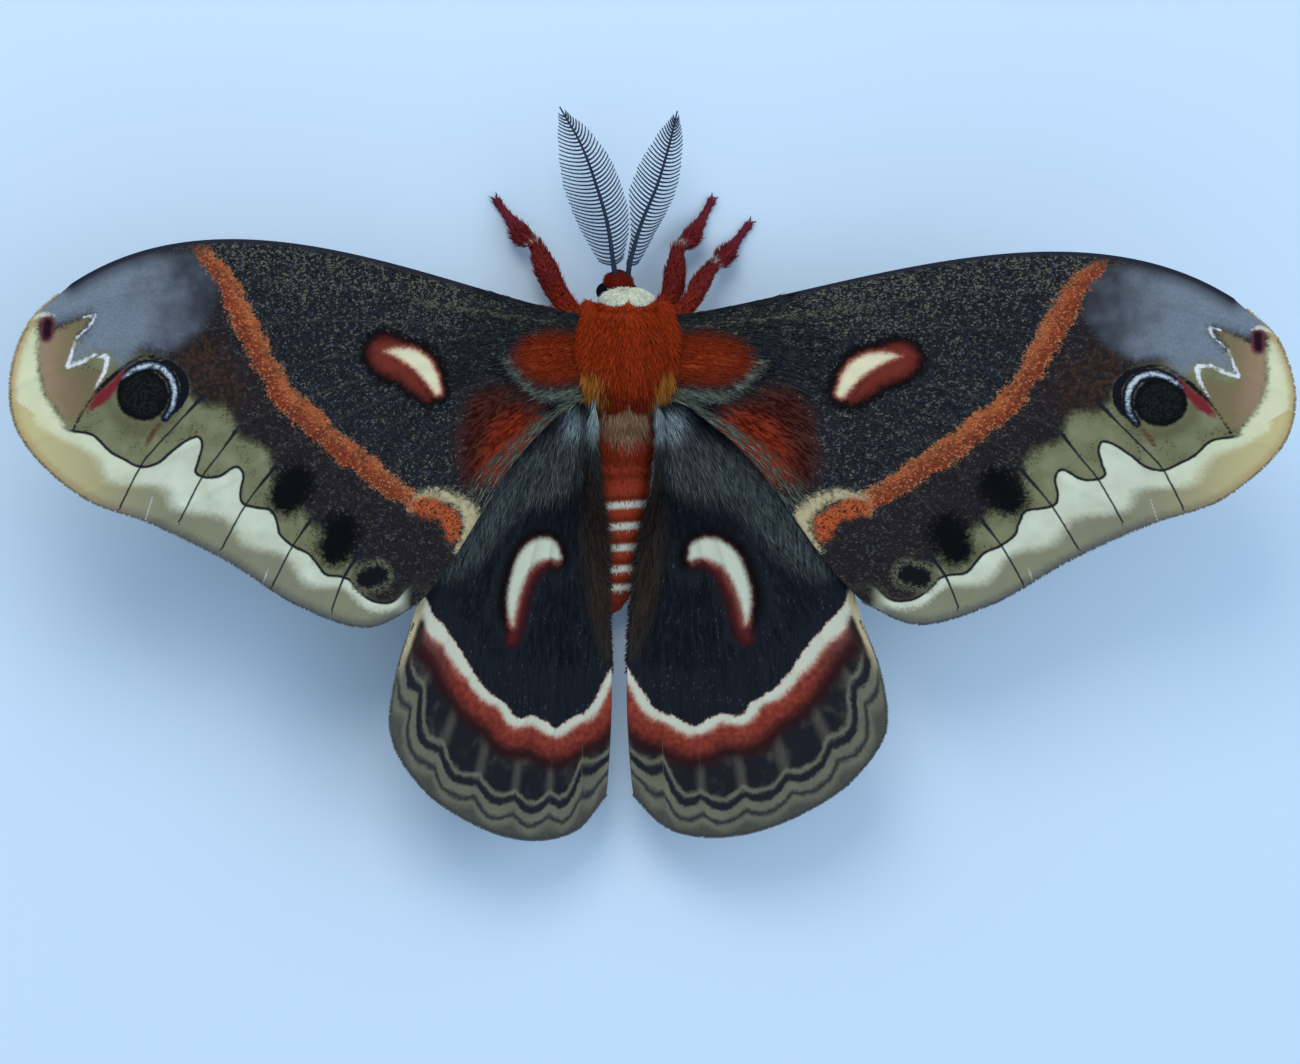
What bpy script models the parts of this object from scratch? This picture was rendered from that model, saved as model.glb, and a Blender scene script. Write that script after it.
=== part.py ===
"""A cecropia moth at rest with its wings spread flat, life size.

Lengths in the tables below are millimetres in the moth's own frame: +X its right side as seen from
above with the head away from the viewer, +Y towards the head, +Z up, the floor at z = 0 and the body
on x = 0. Everything hangs on one empty, which sets the middle of the part's footprint on the origin.
"""
import math
import random

import bmesh
import bpy
from mathutils import Matrix, Vector

MM = 0.001
GAP = 0.3              # left between two pieces that touch in life
SPARE = 0.1            # added to it where a curved surface is only sampled

# Driving sizes
THORAX_CENTRE = Vector((0.0, 19.0, 8.1))
THORAX_RADII = Vector((5.7, 6.4, 5.7))
THORAX_SHOULDER = 0.07         # how much wider the thorax is at wing height than a plain oval
THORAX_MESH = (28, 14)         # segments and rings
HEAD_CENTRE = Vector((-0.25, 26.9, 7.5))    # turned a little to the left
HEAD_RADII = Vector((1.95, 2.1, 2.2))
HEAD_MESH = (18, 9)
EYE_OFFSET = Vector((1.65, -0.45, -0.4))    # of an eye from the head's centre
EYE_RADIUS = 1.0
EYE_MESH = (14, 8)
COLLAR_CENTRE = Vector((0.0, 24.3, 10.0))
COLLAR_RADII = Vector((3.6, 2.3, 2.7))
COLLAR_MESH = (22, 12)

WING_THICKNESS = 0.5
FOREWING_LEVEL = 8.5           # height of the forewing's plane, carried in to the body's middle
HINDWING_LEVEL = 6.4
FOREWING_RISE = math.tan(math.radians(16.4))
HINDWING_RISE = math.tan(math.radians(18.0))
CAMBER = 0.9                   # how far the wings bulge up between root and tip
SPAN = 70.0
VEIN_HEIGHT = 0.3
VEIN_HALF_WIDTH = 0.5

STEM_RADII = (0.42, 0.22)      # of a feeler at its base and its tip
STEM_RINGS = 12
RAMI = 16                      # side branches on each side of a feeler
RAMI_SPAN = (0.03, 0.97)       # where along the stem they stand
RAMUS_RADIUS = 0.27
RAMUS_TAPER = [(-0.05, 1.0), (0.5, 0.85), (1.0, 0.4)]    # place along a branch and its share of that
BRANCH_LEAN = 0.42             # how far a branch leans towards the feeler's tip, for its length
SHORTEST_BRANCH = 0.25         # as a share of its free length, where the two feelers meet

LOCK_HALF_WIDTH = 0.85         # the long flat locks of fur behind the thorax and over the wings' roots
LOCK_HALF_THICKNESS = 0.28
LOCK_STATIONS = (0.0, 0.3, 0.55, 0.8, 1.0)
LOCK_TAPER = (0.7, 0.5)        # how much narrower and thinner a lock is at its tip
LOCK_SINK = 0.7                # of its root under the thorax's surface
LOCK_REST = 0.15               # how far above its clearance its tip lies
LOCK_LIFT = 0.3
LOCK_SEED = 4
REAR_TIERS = [                 # count, half spread, root y, tip y, how high the tips lie
    (6, 2.8, 15.0, 9.0, 0.1), (5, 2.2, 15.6, 11.0, 0.45)]
REAR_CURVE = 0.08              # how the row of roots curves back at its ends, by x squared
REAR_FAN = 1.1                 # how far the tips spread, by x
REAR_ARCH = 0.9                # how much shorter the outermost locks are
SIDE_LOCKS = 7
SIDE_ROOT = (22.6, 7.2, 3.9, 1.5, 0.5)    # first y, length of the row, x, its curve and its slant
SIDE_TIP = (6.3, 0.5, 2.2, 1.2)           # x, its growth backwards, sweep and its growth backwards
HINDWING_ROOT_X = 1.6          # a lock this far out lies over a hindwing
FOREWING_ROOT = (3.6, 11.0)    # and one this far out and forward over a forewing

# Abdomen stations from the thorax to the tip: y, height of the centre, radius
ABDOMEN = [
    (15.5, 6.9, 3.5), (12.5, 6.5, 4.1), (9.0, 5.9, 4.3), (5.0, 5.2, 4.25), (1.0, 4.6, 4.0),
    (-3.0, 3.9, 3.45), (-6.0, 3.3, 2.8), (-7.8, 2.9, 2.1), (-8.8, 2.7, 1.0),
]
ABDOMEN_RINGS = 20
ABDOMEN_SIDES = 18
ABDOMEN_SEGMENTS = 7
SUTURE_DEPTH = 0.12

# Forewing veins: name, points at the root, at one third, at two thirds and at the edge (x, y of the
# right wing), and how far out along the wing, from 0 to 1, the raised vein begins
FOREWING_VEINS = [
    ("costa", [(3.4, 23.0), (22.0, 26.8), (43.0, 30.0), (62.6, 25.0)], 0.0),
    ("radius", [(3.4, 22.2), (22.5, 24.0), (44.0, 25.8), (67.2, 20.6)], 0.0),
    ("sector", [(3.4, 21.4), (23.5, 21.8), (45.5, 21.0), (69.0, 14.4)], 0.3),
    ("media_1", [(3.4, 20.6), (24.5, 19.5), (46.0, 15.6), (67.4, 8.9)], 0.37),
    ("media_2", [(3.4, 19.8), (25.0, 17.4), (44.0, 11.2), (61.4, 3.6)], 0.37),
    ("media_3", [(3.4, 19.0), (24.5, 15.2), (40.6, 8.0), (54.0, 0.9)], 0.37),
    ("cubitus_1", [(3.4, 18.1), (23.0, 13.2), (36.3, 4.9), (45.8, -2.9)], 0.0),
    ("cubitus_2", [(3.4, 17.2), (20.6, 11.2), (31.4, 2.3), (38.0, -7.5)], 0.25),
    ("anal", [(3.4, 16.2), (17.0, 9.6), (25.0, 1.4), (30.3, -9.8)], 0.0),
    ("inner", [(3.4, 15.0), (12.4, 8.3), (18.0, 0.6), (24.3, -7.4)], 0.0),
]
# Hindwing veins in the same form
HINDWING_VEINS = [
    ("costa", [(3.4, 18.8), (13.5, 12.4), (20.5, 4.6), (23.9, -7.5)], 0.0),
    ("subcosta", [(3.4, 18.2), (11.9, 9.9), (19.2, -1.4), (26.6, -15.3)], 0.0),
    ("sector", [(3.4, 17.6), (10.5, 8.0), (17.6, -5.4), (27.0, -21.6)], 0.3),
    ("media_1", [(3.4, 17.0), (9.3, 6.4), (15.2, -8.0), (23.3, -27.0)], 0.37),
    ("media_2", [(3.4, 16.4), (8.2, 5.2), (12.6, -9.6), (18.2, -30.4)], 0.37),
    ("media_3", [(3.4, 15.8), (7.1, 4.3), (10.0, -10.5), (13.3, -32.3)], 0.37),
    ("cubitus_1", [(3.4, 15.3), (6.0, 3.7), (7.4, -10.9), (8.7, -32.7)], 0.0),
    ("cubitus_2", [(3.4, 14.8), (4.6, 3.3), (4.4, -10.6), (4.8, -31.6)], 0.25),
    ("inner", [(3.4, 14.2), (3.0, 3.0), (1.2, -9.6), (1.5, -28.2)], 0.0),
]
CELL_END = 0.37                # where the cross vein closes the wing's middle cell
CELL_ROWS = ("radius", "cubitus_1")
HINDWING_CELL_ROWS = ("subcosta", "cubitus_1")
CELL_CLOSE = 0.014             # how near the stations beside the cross vein lie
STATIONS = 11
VEIN_START = 6.0               # how fast the veins rise from the root
RIGHT_INNER_SHIFT = 1.3        # the right hindwing's inner edge lies beside the abdomen, not on it
SHIFT_POWER = 6                # how closely that shift keeps to the inner edge
SHIFT_RATE = 1.4               # and how soon along the wing it has passed

# Legs: side, name and stations from the hip to the claws (x, y, z, radius), x as on the right side
LEGS = [
    ("leg_front_left", -1, [
        (2.9, 21.6, 4.6, 1.2), (5.6, 25.3, 3.3, 1.3), (7.4, 28.5, 3.8, 1.4), (8.5, 31.0, 3.4, 0.9),
        (9.6, 31.9, 2.7, 1.15), (10.4, 33.3, 1.7, 0.85), (11.2, 34.7, 0.6, 0.58), (12.1, 36.0, 0.3, 0.6)]),
    ("leg_front_right", 1, [
        (2.9, 21.6, 4.6, 1.2), (6.5, 25.2, 3.4, 1.3), (7.1, 28.2, 3.8, 1.3), (7.6, 30.8, 3.4, 0.85),
        (9.1, 31.9, 2.6, 1.1), (10.4, 33.5, 1.7, 0.8), (11.5, 35.0, 0.6, 0.55), (12.3, 36.4, 0.3, 0.6)]),
    ("leg_mid_left", -1, [
        (3.4, 19.2, 6.0, 1.0), (6.5, 22.6, 6.3, 1.1), (8.4, 23.4, 5.3, 1.1), (10.2, 23.7, 4.1, 0.85),
        (11.6, 24.2, 2.8, 1.0), (12.6, 24.7, 1.7, 0.8), (13.4, 25.2, 0.6, 0.56), (14.5, 25.7, 0.3, 0.58)]),
    ("leg_mid_right", 1, [
        (3.6, 19.8, 6.0, 1.0), (8.0, 24.8, 6.3, 1.15), (9.6, 27.1, 5.5, 1.2), (11.3, 28.9, 3.9, 0.85),
        (12.9, 30.0, 2.8, 1.1), (14.2, 31.2, 1.7, 0.8), (15.4, 32.4, 0.6, 0.56), (16.6, 33.9, 0.3, 0.58)]),
    ("leg_hind_left", -1, [
        (3.1, 16.6, 4.6, 1.1), (6.3, 12.6, 4.6, 1.15), (8.8, 8.4, 4.2, 1.15), (9.4, 6.8, 3.5, 0.85),
        (9.8, 5.2, 2.5, 1.05), (10.1, 3.7, 1.5, 0.8), (10.3, 2.4, 0.6, 0.56), (10.7, 0.4, 0.3, 0.58)]),
    ("leg_hind_right", 1, [
        (3.1, 16.6, 4.6, 1.1), (6.3, 12.4, 4.6, 1.15), (9.0, 8.6, 4.2, 1.15), (9.9, 7.0, 3.5, 0.85),
        (10.5, 5.4, 2.5, 1.05), (11.0, 3.8, 1.5, 0.8), (11.4, 2.4, 0.6, 0.56), (12.1, 0.4, 0.3, 0.58)]),
]

LEG_RINGS = 14

# Feelers: side, name, stem from the head to the tip (x, y, z), how far the branches spread to the
# sides and droop for each unit of their length, and the x that this feeler's inner branches keep to
# their own side of
FEELERS = [
    ("antenna_left", -1, [
        (1.2, 28.7, 9.0), (2.05, 33.0, 9.6), (3.4, 37.2, 9.9), (5.05, 41.4, 9.9), (7.3, 45.4, 9.5)],
     0.93, 0.3, 0.75),
    ("antenna_right", 1, [
        (0.55, 28.7, 9.0), (1.7, 33.0, 9.6), (3.4, 37.2, 9.9), (4.7, 41.4, 9.9), (5.75, 45.2, 9.5)],
     0.75, 0.6, 1.15),
]
OUTER_REACH = [2.2, 3.3, 3.5, 3.2, 2.0, 0.6]    # length of the outer branches from base to tip
INNER_REACH = [2.0, 3.0, 3.0, 2.7, 1.9, 0.6]

MATERIALS = {
    "fur_rust": ((0.26, 0.05, 0.02, 1.0), 0.9),
    "fur_cream": ((0.62, 0.62, 0.45, 1.0), 0.9),
    "abdomen_bands": ((0.30, 0.10, 0.05, 1.0), 0.85),
    "forewing_scales": ((0.05, 0.045, 0.045, 1.0), 0.8),
    "hindwing_scales": ((0.03, 0.035, 0.045, 1.0), 0.8),
    "leg_fur": ((0.14, 0.03, 0.03, 1.0), 0.85),
    "antenna_horn": ((0.03, 0.035, 0.06, 1.0), 0.5),
    "eye": ((0.01, 0.012, 0.02, 1.0), 0.15),
}


def clear_scene():
    """Take away whatever the file opened with."""
    for item in list(bpy.data.objects):
        bpy.data.objects.remove(item, do_unlink=True)


def material(name):
    """The Principled material of that name."""
    found = bpy.data.materials.get(name)
    if found:
        return found
    colour, roughness = MATERIALS[name]
    made = bpy.data.materials.new(name)
    made.use_nodes = True
    shader = made.node_tree.nodes["Principled BSDF"]
    shader.inputs["Base Color"].default_value = colour
    shader.inputs["Roughness"].default_value = roughness
    shader.inputs["Metallic"].default_value = 0.0
    return made


def new_object(name, bm, finish=None):
    """An object in metres from a bmesh in millimetres."""
    bm.transform(Matrix.Scale(MM, 4))
    bmesh.ops.recalc_face_normals(bm, faces=bm.faces)
    mesh = bpy.data.meshes.new(name)
    bm.to_mesh(mesh)
    bm.free()
    made = bpy.data.objects.new(name, mesh)
    bpy.context.scene.collection.objects.link(made)
    if finish:
        mesh.materials.append(material(finish))
    return made


def along(points, t):
    """A point at t from 0 to 1 on the smooth curve through evenly spaced points of any size."""
    last = len(points) - 1
    place = min(max(t, 0.0), 1.0) * last
    i = min(int(place), last - 1)
    u = place - i
    p1 = Vector(points[i])
    p2 = Vector(points[i + 1])
    p0 = Vector(points[i - 1]) if i > 0 else 2.0 * p1 - p2
    p3 = Vector(points[i + 2]) if i + 2 <= last else 2.0 * p2 - p1
    return 0.5 * (2.0 * p1 + (p2 - p0) * u + (2.0 * p0 - 5.0 * p1 + 4.0 * p2 - p3) * u * u
                  + (3.0 * p1 - p0 - 3.0 * p2 + p3) * u * u * u)


def number_along(values, t):
    """The same for a row of plain numbers."""
    return along([(value, 0.0) for value in values], t)[0]


def loft(bm, stations, sides, up=Vector((0.0, 0.0, 1.0))):
    """A closed tube through stations of (centre, half width, half height)."""
    rings = []
    for i, (centre, half_width, half_height) in enumerate(stations):
        before = stations[max(i - 1, 0)][0]
        after = stations[min(i + 1, len(stations) - 1)][0]
        forward = (after - before).normalized()
        side = forward.cross(up).normalized()
        top = side.cross(forward)
        ring = []
        for k in range(sides):
            angle = 2.0 * math.pi * (k + 0.5) / sides
            offset = side * (half_width * math.cos(angle)) + top * (half_height * math.sin(angle))
            ring.append(bm.verts.new(centre + offset))
        rings.append(ring)
    for first, second in zip(rings, rings[1:]):
        for k in range(sides):
            bm.faces.new((first[k], first[(k + 1) % sides], second[(k + 1) % sides], second[k]))
    bm.faces.new(list(reversed(rings[0])))
    bm.faces.new(rings[-1])


def oval(name, centre, radii, resolution, grow=0.0, shape=None, finish=None):
    """An ellipsoid with its poles along Y, shaped by a function of its unit-sphere point."""
    bm = bmesh.new()
    bmesh.ops.create_uvsphere(bm, u_segments=resolution[0], v_segments=resolution[1], radius=1.0,
                              matrix=Matrix.Rotation(math.radians(90.0), 4, "X"))
    for vert in bm.verts:
        unit = shape(vert.co.copy()) if shape else vert.co
        vert.co = centre + Vector([unit[i] * (radii[i] + grow) for i in range(3)])
    return new_object(name, bm, finish)


def boolean(target, operands, operation):
    """Cut the target by closed objects or join them to it, then remove them."""
    tools = bpy.data.collections.new("tools")
    for item in operands:
        tools.objects.link(item)
    change = target.modifiers.new("change", "BOOLEAN")
    change.operation = operation
    change.solver = "EXACT"
    change.operand_type = "COLLECTION"
    change.collection = tools
    graph = bpy.context.evaluated_depsgraph_get()
    result = bpy.data.meshes.new_from_object(target.evaluated_get(graph))
    target.modifiers.clear()
    result.name = target.name
    target.data = result
    for item in list(tools.objects):
        bpy.data.objects.remove(item, do_unlink=True)
    bpy.data.collections.remove(tools)
    keep_largest(target)


def keep_largest(target):
    """Keep the target's largest closed surface, in triangles."""
    bm = bmesh.new()
    bm.from_mesh(target.data)
    bmesh.ops.remove_doubles(bm, verts=bm.verts, dist=2e-6)
    bmesh.ops.dissolve_degenerate(bm, edges=bm.edges, dist=2e-6)
    seen = set()
    groups = []
    for start in bm.verts:
        if start in seen:
            continue
        seen.add(start)
        group = [start]
        for vert in group:
            for edge in vert.link_edges:
                other = edge.other_vert(vert)
                if other not in seen:
                    seen.add(other)
                    group.append(other)
        groups.append(group)
    groups.sort(key=len)
    for group in groups[:-1]:
        bmesh.ops.delete(bm, geom=group, context="VERTS")
    bmesh.ops.triangulate(bm, faces=bm.faces)
    bmesh.ops.recalc_face_normals(bm, faces=bm.faces)
    bm.to_mesh(target.data)
    bm.free()


def shouldered(unit):
    """The thorax's section: widest above its middle, where the wings join it."""
    return Vector((unit.x * (1.0 + THORAX_SHOULDER * unit.z), unit.y, unit.z))


def thorax_body(name="thorax_tool", grow=0.0, finish=None):
    return oval(name, THORAX_CENTRE, THORAX_RADII, THORAX_MESH, grow, shouldered, finish)


def abdomen_at(y):
    """Height of the abdomen's centre and its radius at y."""
    stations = ABDOMEN
    for (y0, z0, r0), (y1, z1, r1) in zip(stations, stations[1:]):
        if y1 <= y <= y0:
            u = (y0 - y) / (y0 - y1)
            return z0 + (z1 - z0) * u, r0 + (r1 - r0) * u
    return (stations[0][1], stations[0][2]) if y > stations[0][0] else (stations[-1][1], 0.0)


def build_abdomen():
    """A drooping, ringed cone with its first segments cut to the thorax."""
    stations = []
    for i in range(ABDOMEN_RINGS + 1):
        t = i / ABDOMEN_RINGS
        y, z, radius = along(ABDOMEN, t)
        suture = SUTURE_DEPTH * (0.5 + 0.5 * math.cos(2.0 * math.pi * ABDOMEN_SEGMENTS * t))
        stations.append((Vector((0.0, y, z)), max(radius - suture, 0.5), max(radius - suture, 0.5)))
    bm = bmesh.new()
    loft(bm, stations, ABDOMEN_SIDES)
    made = new_object("abdomen", bm, "abdomen_bands")
    boolean(made, [thorax_body(grow=GAP)], "DIFFERENCE")
    return made


def thorax_skin(x, y):
    """Height of the thorax's upper surface over x, y."""
    across = x / (THORAX_RADII.x * (1.0 + 0.5 * THORAX_SHOULDER))
    ahead = (y - THORAX_CENTRE.y) / THORAX_RADII.y
    return THORAX_CENTRE.z + THORAX_RADII.z * math.sqrt(max(1.0 - across ** 2 - ahead ** 2, 0.0))


def lying_height(x, y):
    """The lowest that the middle of a lock may lie over the abdomen and the wings' roots."""
    centre, radius = abdomen_at(y)
    reach = radius + GAP + LOCK_HALF_THICKNESS + LOCK_REST
    height = centre + math.sqrt(max(reach * reach - x * x, 0.0))
    over_wing = 0.5 * WING_THICKNESS + VEIN_HEIGHT + GAP + LOCK_HALF_THICKNESS + SPARE
    if abs(x) > HINDWING_ROOT_X:
        hindwing = sheet_height(x, HINDWING_LEVEL, HINDWING_RISE)
        height = max(height, over_abdomen(x, y, hindwing) + over_wing)
    if abs(x) > FOREWING_ROOT[0] and y > FOREWING_ROOT[1]:
        height = max(height, sheet_height(x, FOREWING_LEVEL, FOREWING_RISE) + over_wing)
    return height


def lock(root, tip, lift):
    """One flat tapered lock from inside the thorax to its tip, bending over what lies under it."""
    stations = []
    for u in LOCK_STATIONS:
        centre = root.lerp(tip, u)
        centre.z += lift * math.sin(math.pi * u)
        half_width = LOCK_HALF_WIDTH * (1.0 - LOCK_TAPER[0] * u ** 3)
        if u > 0.0:
            beneath = [lying_height(centre.x + k * half_width, centre.y) for k in (-0.8, 0.0, 0.8)]
            centre.z = max([centre.z] + beneath)
        stations.append((centre, half_width, LOCK_HALF_THICKNESS * (1.0 - LOCK_TAPER[1] * u)))
    bm = bmesh.new()
    loft(bm, stations, 4)
    return new_object("lock", bm)


def build_thorax():
    """The furred thorax with its longer locks over the abdomen and the wings' roots."""
    rng = random.Random(LOCK_SEED)
    made = thorax_body("thorax", finish="fur_rust")
    locks = []
    for count, spread, root_y, tip_y, rest in REAR_TIERS:
        for i in range(count):
            across = 2.0 * i / (count - 1) - 1.0
            x = across * spread
            y = root_y - REAR_CURVE * x * x + rng.uniform(-0.2, 0.2)
            root = Vector((x, y, thorax_skin(x, y) - LOCK_SINK))
            tip_x = x * REAR_FAN + rng.uniform(-0.3, 0.3)
            end_y = tip_y + REAR_ARCH * abs(across) + rng.uniform(-0.5, 0.5)
            tip = Vector((tip_x, end_y, lying_height(tip_x, end_y) + rest))
            locks.append(lock(root, tip, LOCK_LIFT + 0.5 * rest))
    first_y, row_length, root_x, row_curve, row_slant = SIDE_ROOT
    reach_x, reach_growth, sweep, sweep_growth = SIDE_TIP
    for side in (-1, 1):
        for i in range(SIDE_LOCKS):
            u = i / (SIDE_LOCKS - 1)
            y = first_y - row_length * u
            x = side * (root_x - row_curve * (2.0 * u - 1.0) ** 2 + row_slant * (1.0 - u))
            root = Vector((x, y, thorax_skin(x, y) - LOCK_SINK))
            tip_x = side * (reach_x + reach_growth * u + rng.uniform(-0.2, 0.2))
            tip_y = y - sweep - sweep_growth * u + rng.uniform(-0.2, 0.2)
            tip = Vector((tip_x, tip_y, lying_height(tip_x, tip_y) + LOCK_REST))
            locks.append(lock(root, tip, LOCK_LIFT))
    boolean(made, locks, "UNION")
    return made


def head_body(name="head_tool", grow=0.0, finish=None):
    return oval(name, HEAD_CENTRE, HEAD_RADII, HEAD_MESH, grow, finish=finish)


def eye_body(name, side, grow=0.0, finish=None):
    centre = HEAD_CENTRE + Vector((side * EYE_OFFSET.x, EYE_OFFSET.y, EYE_OFFSET.z))
    radii = Vector((EYE_RADIUS, EYE_RADIUS, EYE_RADIUS))
    return oval(name, centre, radii, EYE_MESH, grow, finish=finish)


def build_head():
    made = head_body("head", finish="fur_rust")
    sockets = [eye_body("socket", side, GAP) for side in (-1, 1)]
    boolean(made, sockets + [thorax_body(grow=GAP)], "DIFFERENCE")
    eyes = [eye_body("eye_left", -1, finish="eye"), eye_body("eye_right", 1, finish="eye")]
    return [made] + eyes


def build_collar():
    """The pale band of fur that wraps the front of the thorax behind the head."""
    made = oval("collar", COLLAR_CENTRE, COLLAR_RADII, COLLAR_MESH, finish="fur_cream")
    sockets = [eye_body("socket", side, GAP) for side in (-1, 1)]
    boolean(made, sockets + [thorax_body(grow=GAP), head_body(grow=GAP)], "DIFFERENCE")
    return made


def build_leg(name, side, stations):
    """A stout furred leg from its hip to the claws, flat where it stands."""
    path = [(side * x, y, z, radius) for x, y, z, radius in stations]
    rings = []
    for i in range(LEG_RINGS + 1):
        x, y, z, radius = along(path, i / LEG_RINGS)
        rings.append((Vector((x, y, z)), radius, radius))
    bm = bmesh.new()
    loft(bm, rings, 8)
    for vert in bm.verts:
        vert.co.z = max(vert.co.z, 0.0)
    made = new_object(name, bm, "leg_fur")
    boolean(made, [thorax_body(grow=GAP)], "DIFFERENCE")
    return made


def sheet_height(x, level, rise):
    """Height of a wing's middle surface at x from the body: a slope with a slight bulge."""
    across = min(abs(x) / SPAN, 1.0)
    return level + rise * abs(x) + CAMBER * math.sin(math.pi * across)


def over_abdomen(x, y, z):
    """Lift a wing's surface clear of the abdomen where it would cross it."""
    centre, radius = abdomen_at(y)
    reach = radius + GAP + 0.5 * WING_THICKNESS + SPARE
    if abs(x) >= reach or y < ABDOMEN[-1][0] or y > THORAX_CENTRE.y:
        return z
    return max(z, centre + math.sqrt(reach * reach - x * x))


def wing_columns(veins):
    """Columns across a wing as (vein row, fraction on to the next row, raised), ridge by ridge."""
    columns = []
    last = len(veins) - 1
    for row in range(last + 1):
        columns.append((row, 0.0, True))
        if row < last:
            columns.append((row, "near", False))
            columns.append((row, 0.5, False))
            columns.append((row, "far", False))
    return columns


def wing_stations():
    """Distances along the wing, with a close group where the cell's cross vein rises."""
    even = [i / STATIONS for i in range(STATIONS + 1)]
    kept = [t for t in even if abs(t - CELL_END) > 2.0 * CELL_CLOSE]
    return sorted(kept + [CELL_END - CELL_CLOSE, CELL_END, CELL_END + CELL_CLOSE])


def cubic(points, t):
    """The one cubic through four evenly spaced points."""
    u = 3.0 * t
    weights = (-(u - 1.0) * (u - 2.0) * (u - 3.0) / 6.0, u * (u - 2.0) * (u - 3.0) / 2.0,
               -u * (u - 1.0) * (u - 3.0) / 2.0, u * (u - 1.0) * (u - 2.0) / 6.0)
    return sum((Vector(p) * w for p, w in zip(points, weights)), Vector((0.0, 0.0)))


def wing_point(veins, row, fraction, t):
    """The plan position at t along the wing, a fraction on from one vein to the next."""
    last = len(veins) - 1
    row_points = [cubic(vein[1], t) for vein in veins]
    spacing = (row_points[min(row + 1, last)] - row_points[row]).length
    flank = min(0.3, VEIN_HALF_WIDTH / max(spacing, 0.01))
    if fraction == "near":
        fraction = flank
    elif fraction == "far":
        fraction = 1.0 - flank
    return along(row_points, (row + fraction) / last)


def build_wing(name, side, veins, level, rise, cell_rows, finish, inner_shift=0.0):
    """One wing: a thin sheet on its veins' own rows, each vein raised in the sheet's surface."""
    columns = wing_columns(veins)
    stations = wing_stations()
    names = [vein[0] for vein in veins]
    cell = (names.index(cell_rows[0]), names.index(cell_rows[1]))
    bm = bmesh.new()
    bmesh.ops.create_grid(bm, x_segments=len(columns) - 1, y_segments=len(stations) - 1, size=1.0)
    for vert in bm.verts:
        i = round((vert.co.x + 1.0) / 2.0 * (len(columns) - 1))
        j = round((vert.co.y + 1.0) / 2.0 * (len(stations) - 1))
        row, fraction, raised = columns[i]
        t = stations[j]
        x, y = wing_point(veins, row, fraction, t)
        inward = i / (len(columns) - 1)
        x += inner_shift * inward ** SHIFT_POWER * math.sin(math.pi * min(t * SHIFT_RATE, 1.0))
        z = sheet_height(x, level, rise)
        ridge = VEIN_HEIGHT if raised and t > veins[row][2] else 0.0
        if abs(t - CELL_END) < 1e-6 and cell[0] < row + (fraction != 0.0) and row < cell[1]:
            ridge = VEIN_HEIGHT
        z = over_abdomen(x, y, z) + ridge * min(1.0, VEIN_START * t)
        vert.co = Vector((side * x, y, z))
    bmesh.ops.triangulate(bm, faces=bm.faces)
    made = new_object(name, bm, finish)
    skin = made.modifiers.new("skin", "SOLIDIFY")
    skin.thickness = WING_THICKNESS * MM
    skin.offset = 0.0
    boolean(made, [thorax_body(grow=GAP)], "DIFFERENCE")
    return made


def build_feeler(name, side, stem, spread, droop, meeting):
    """A feathered feeler: a tapering stem with curved branches along both sides."""
    path = [Vector((side * x, y, z)) for x, y, z in stem]
    rings = []
    for i in range(STEM_RINGS + 1):
        t = i / STEM_RINGS
        radius = STEM_RADII[0] + (STEM_RADII[1] - STEM_RADII[0]) * t
        rings.append((along(path, t), radius, radius))
    stem_bm = bmesh.new()
    loft(stem_bm, rings, 6)
    made = new_object(name, stem_bm, "antenna_horn")
    branches = []
    for i in range(RAMI):
        t = RAMI_SPAN[0] + (RAMI_SPAN[1] - RAMI_SPAN[0]) * (i + 0.5) / RAMI
        root = along(path, t)
        ahead = (along(path, min(t + 0.02, 1.0)) - along(path, t - 0.02)).normalized()
        across = ahead.cross(Vector((0.0, 0.0, 1.0))).normalized()
        for outward, reach in ((1, number_along(OUTER_REACH, t)), (-1, number_along(INNER_REACH, t))):
            away = across * (side * outward)
            tip = root + away * (spread * reach) + ahead * (BRANCH_LEAN * reach)
            if outward < 0 and side * (tip.x - meeting) < 0.0:
                reach *= max((root.x - meeting) / (root.x - tip.x), SHORTEST_BRANCH)
            stations = []
            for u, share in RAMUS_TAPER:
                centre = (root + away * (spread * reach * u) + ahead * (BRANCH_LEAN * reach * u * u)
                          - Vector((0.0, 0.0, droop * reach * u * u)))
                stations.append((centre, RAMUS_RADIUS * share, RAMUS_RADIUS * share))
            bm = bmesh.new()
            loft(bm, stations, 4)
            branches.append(new_object("branch", bm))
    boolean(made, branches, "UNION")
    boolean(made, [head_body(grow=GAP), thorax_body(grow=GAP)], "DIFFERENCE")
    return made


def footprint_middle(parts):
    """The middle of the parts' lowest face, in metres."""
    corners = [part.matrix_world @ Vector(corner) for part in parts for corner in part.bound_box]
    low = Vector([min(corner[i] for corner in corners) for i in range(3)])
    high = Vector([max(corner[i] for corner in corners) for i in range(3)])
    return Vector(((low.x + high.x) / 2.0, (low.y + high.y) / 2.0, low.z))


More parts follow.
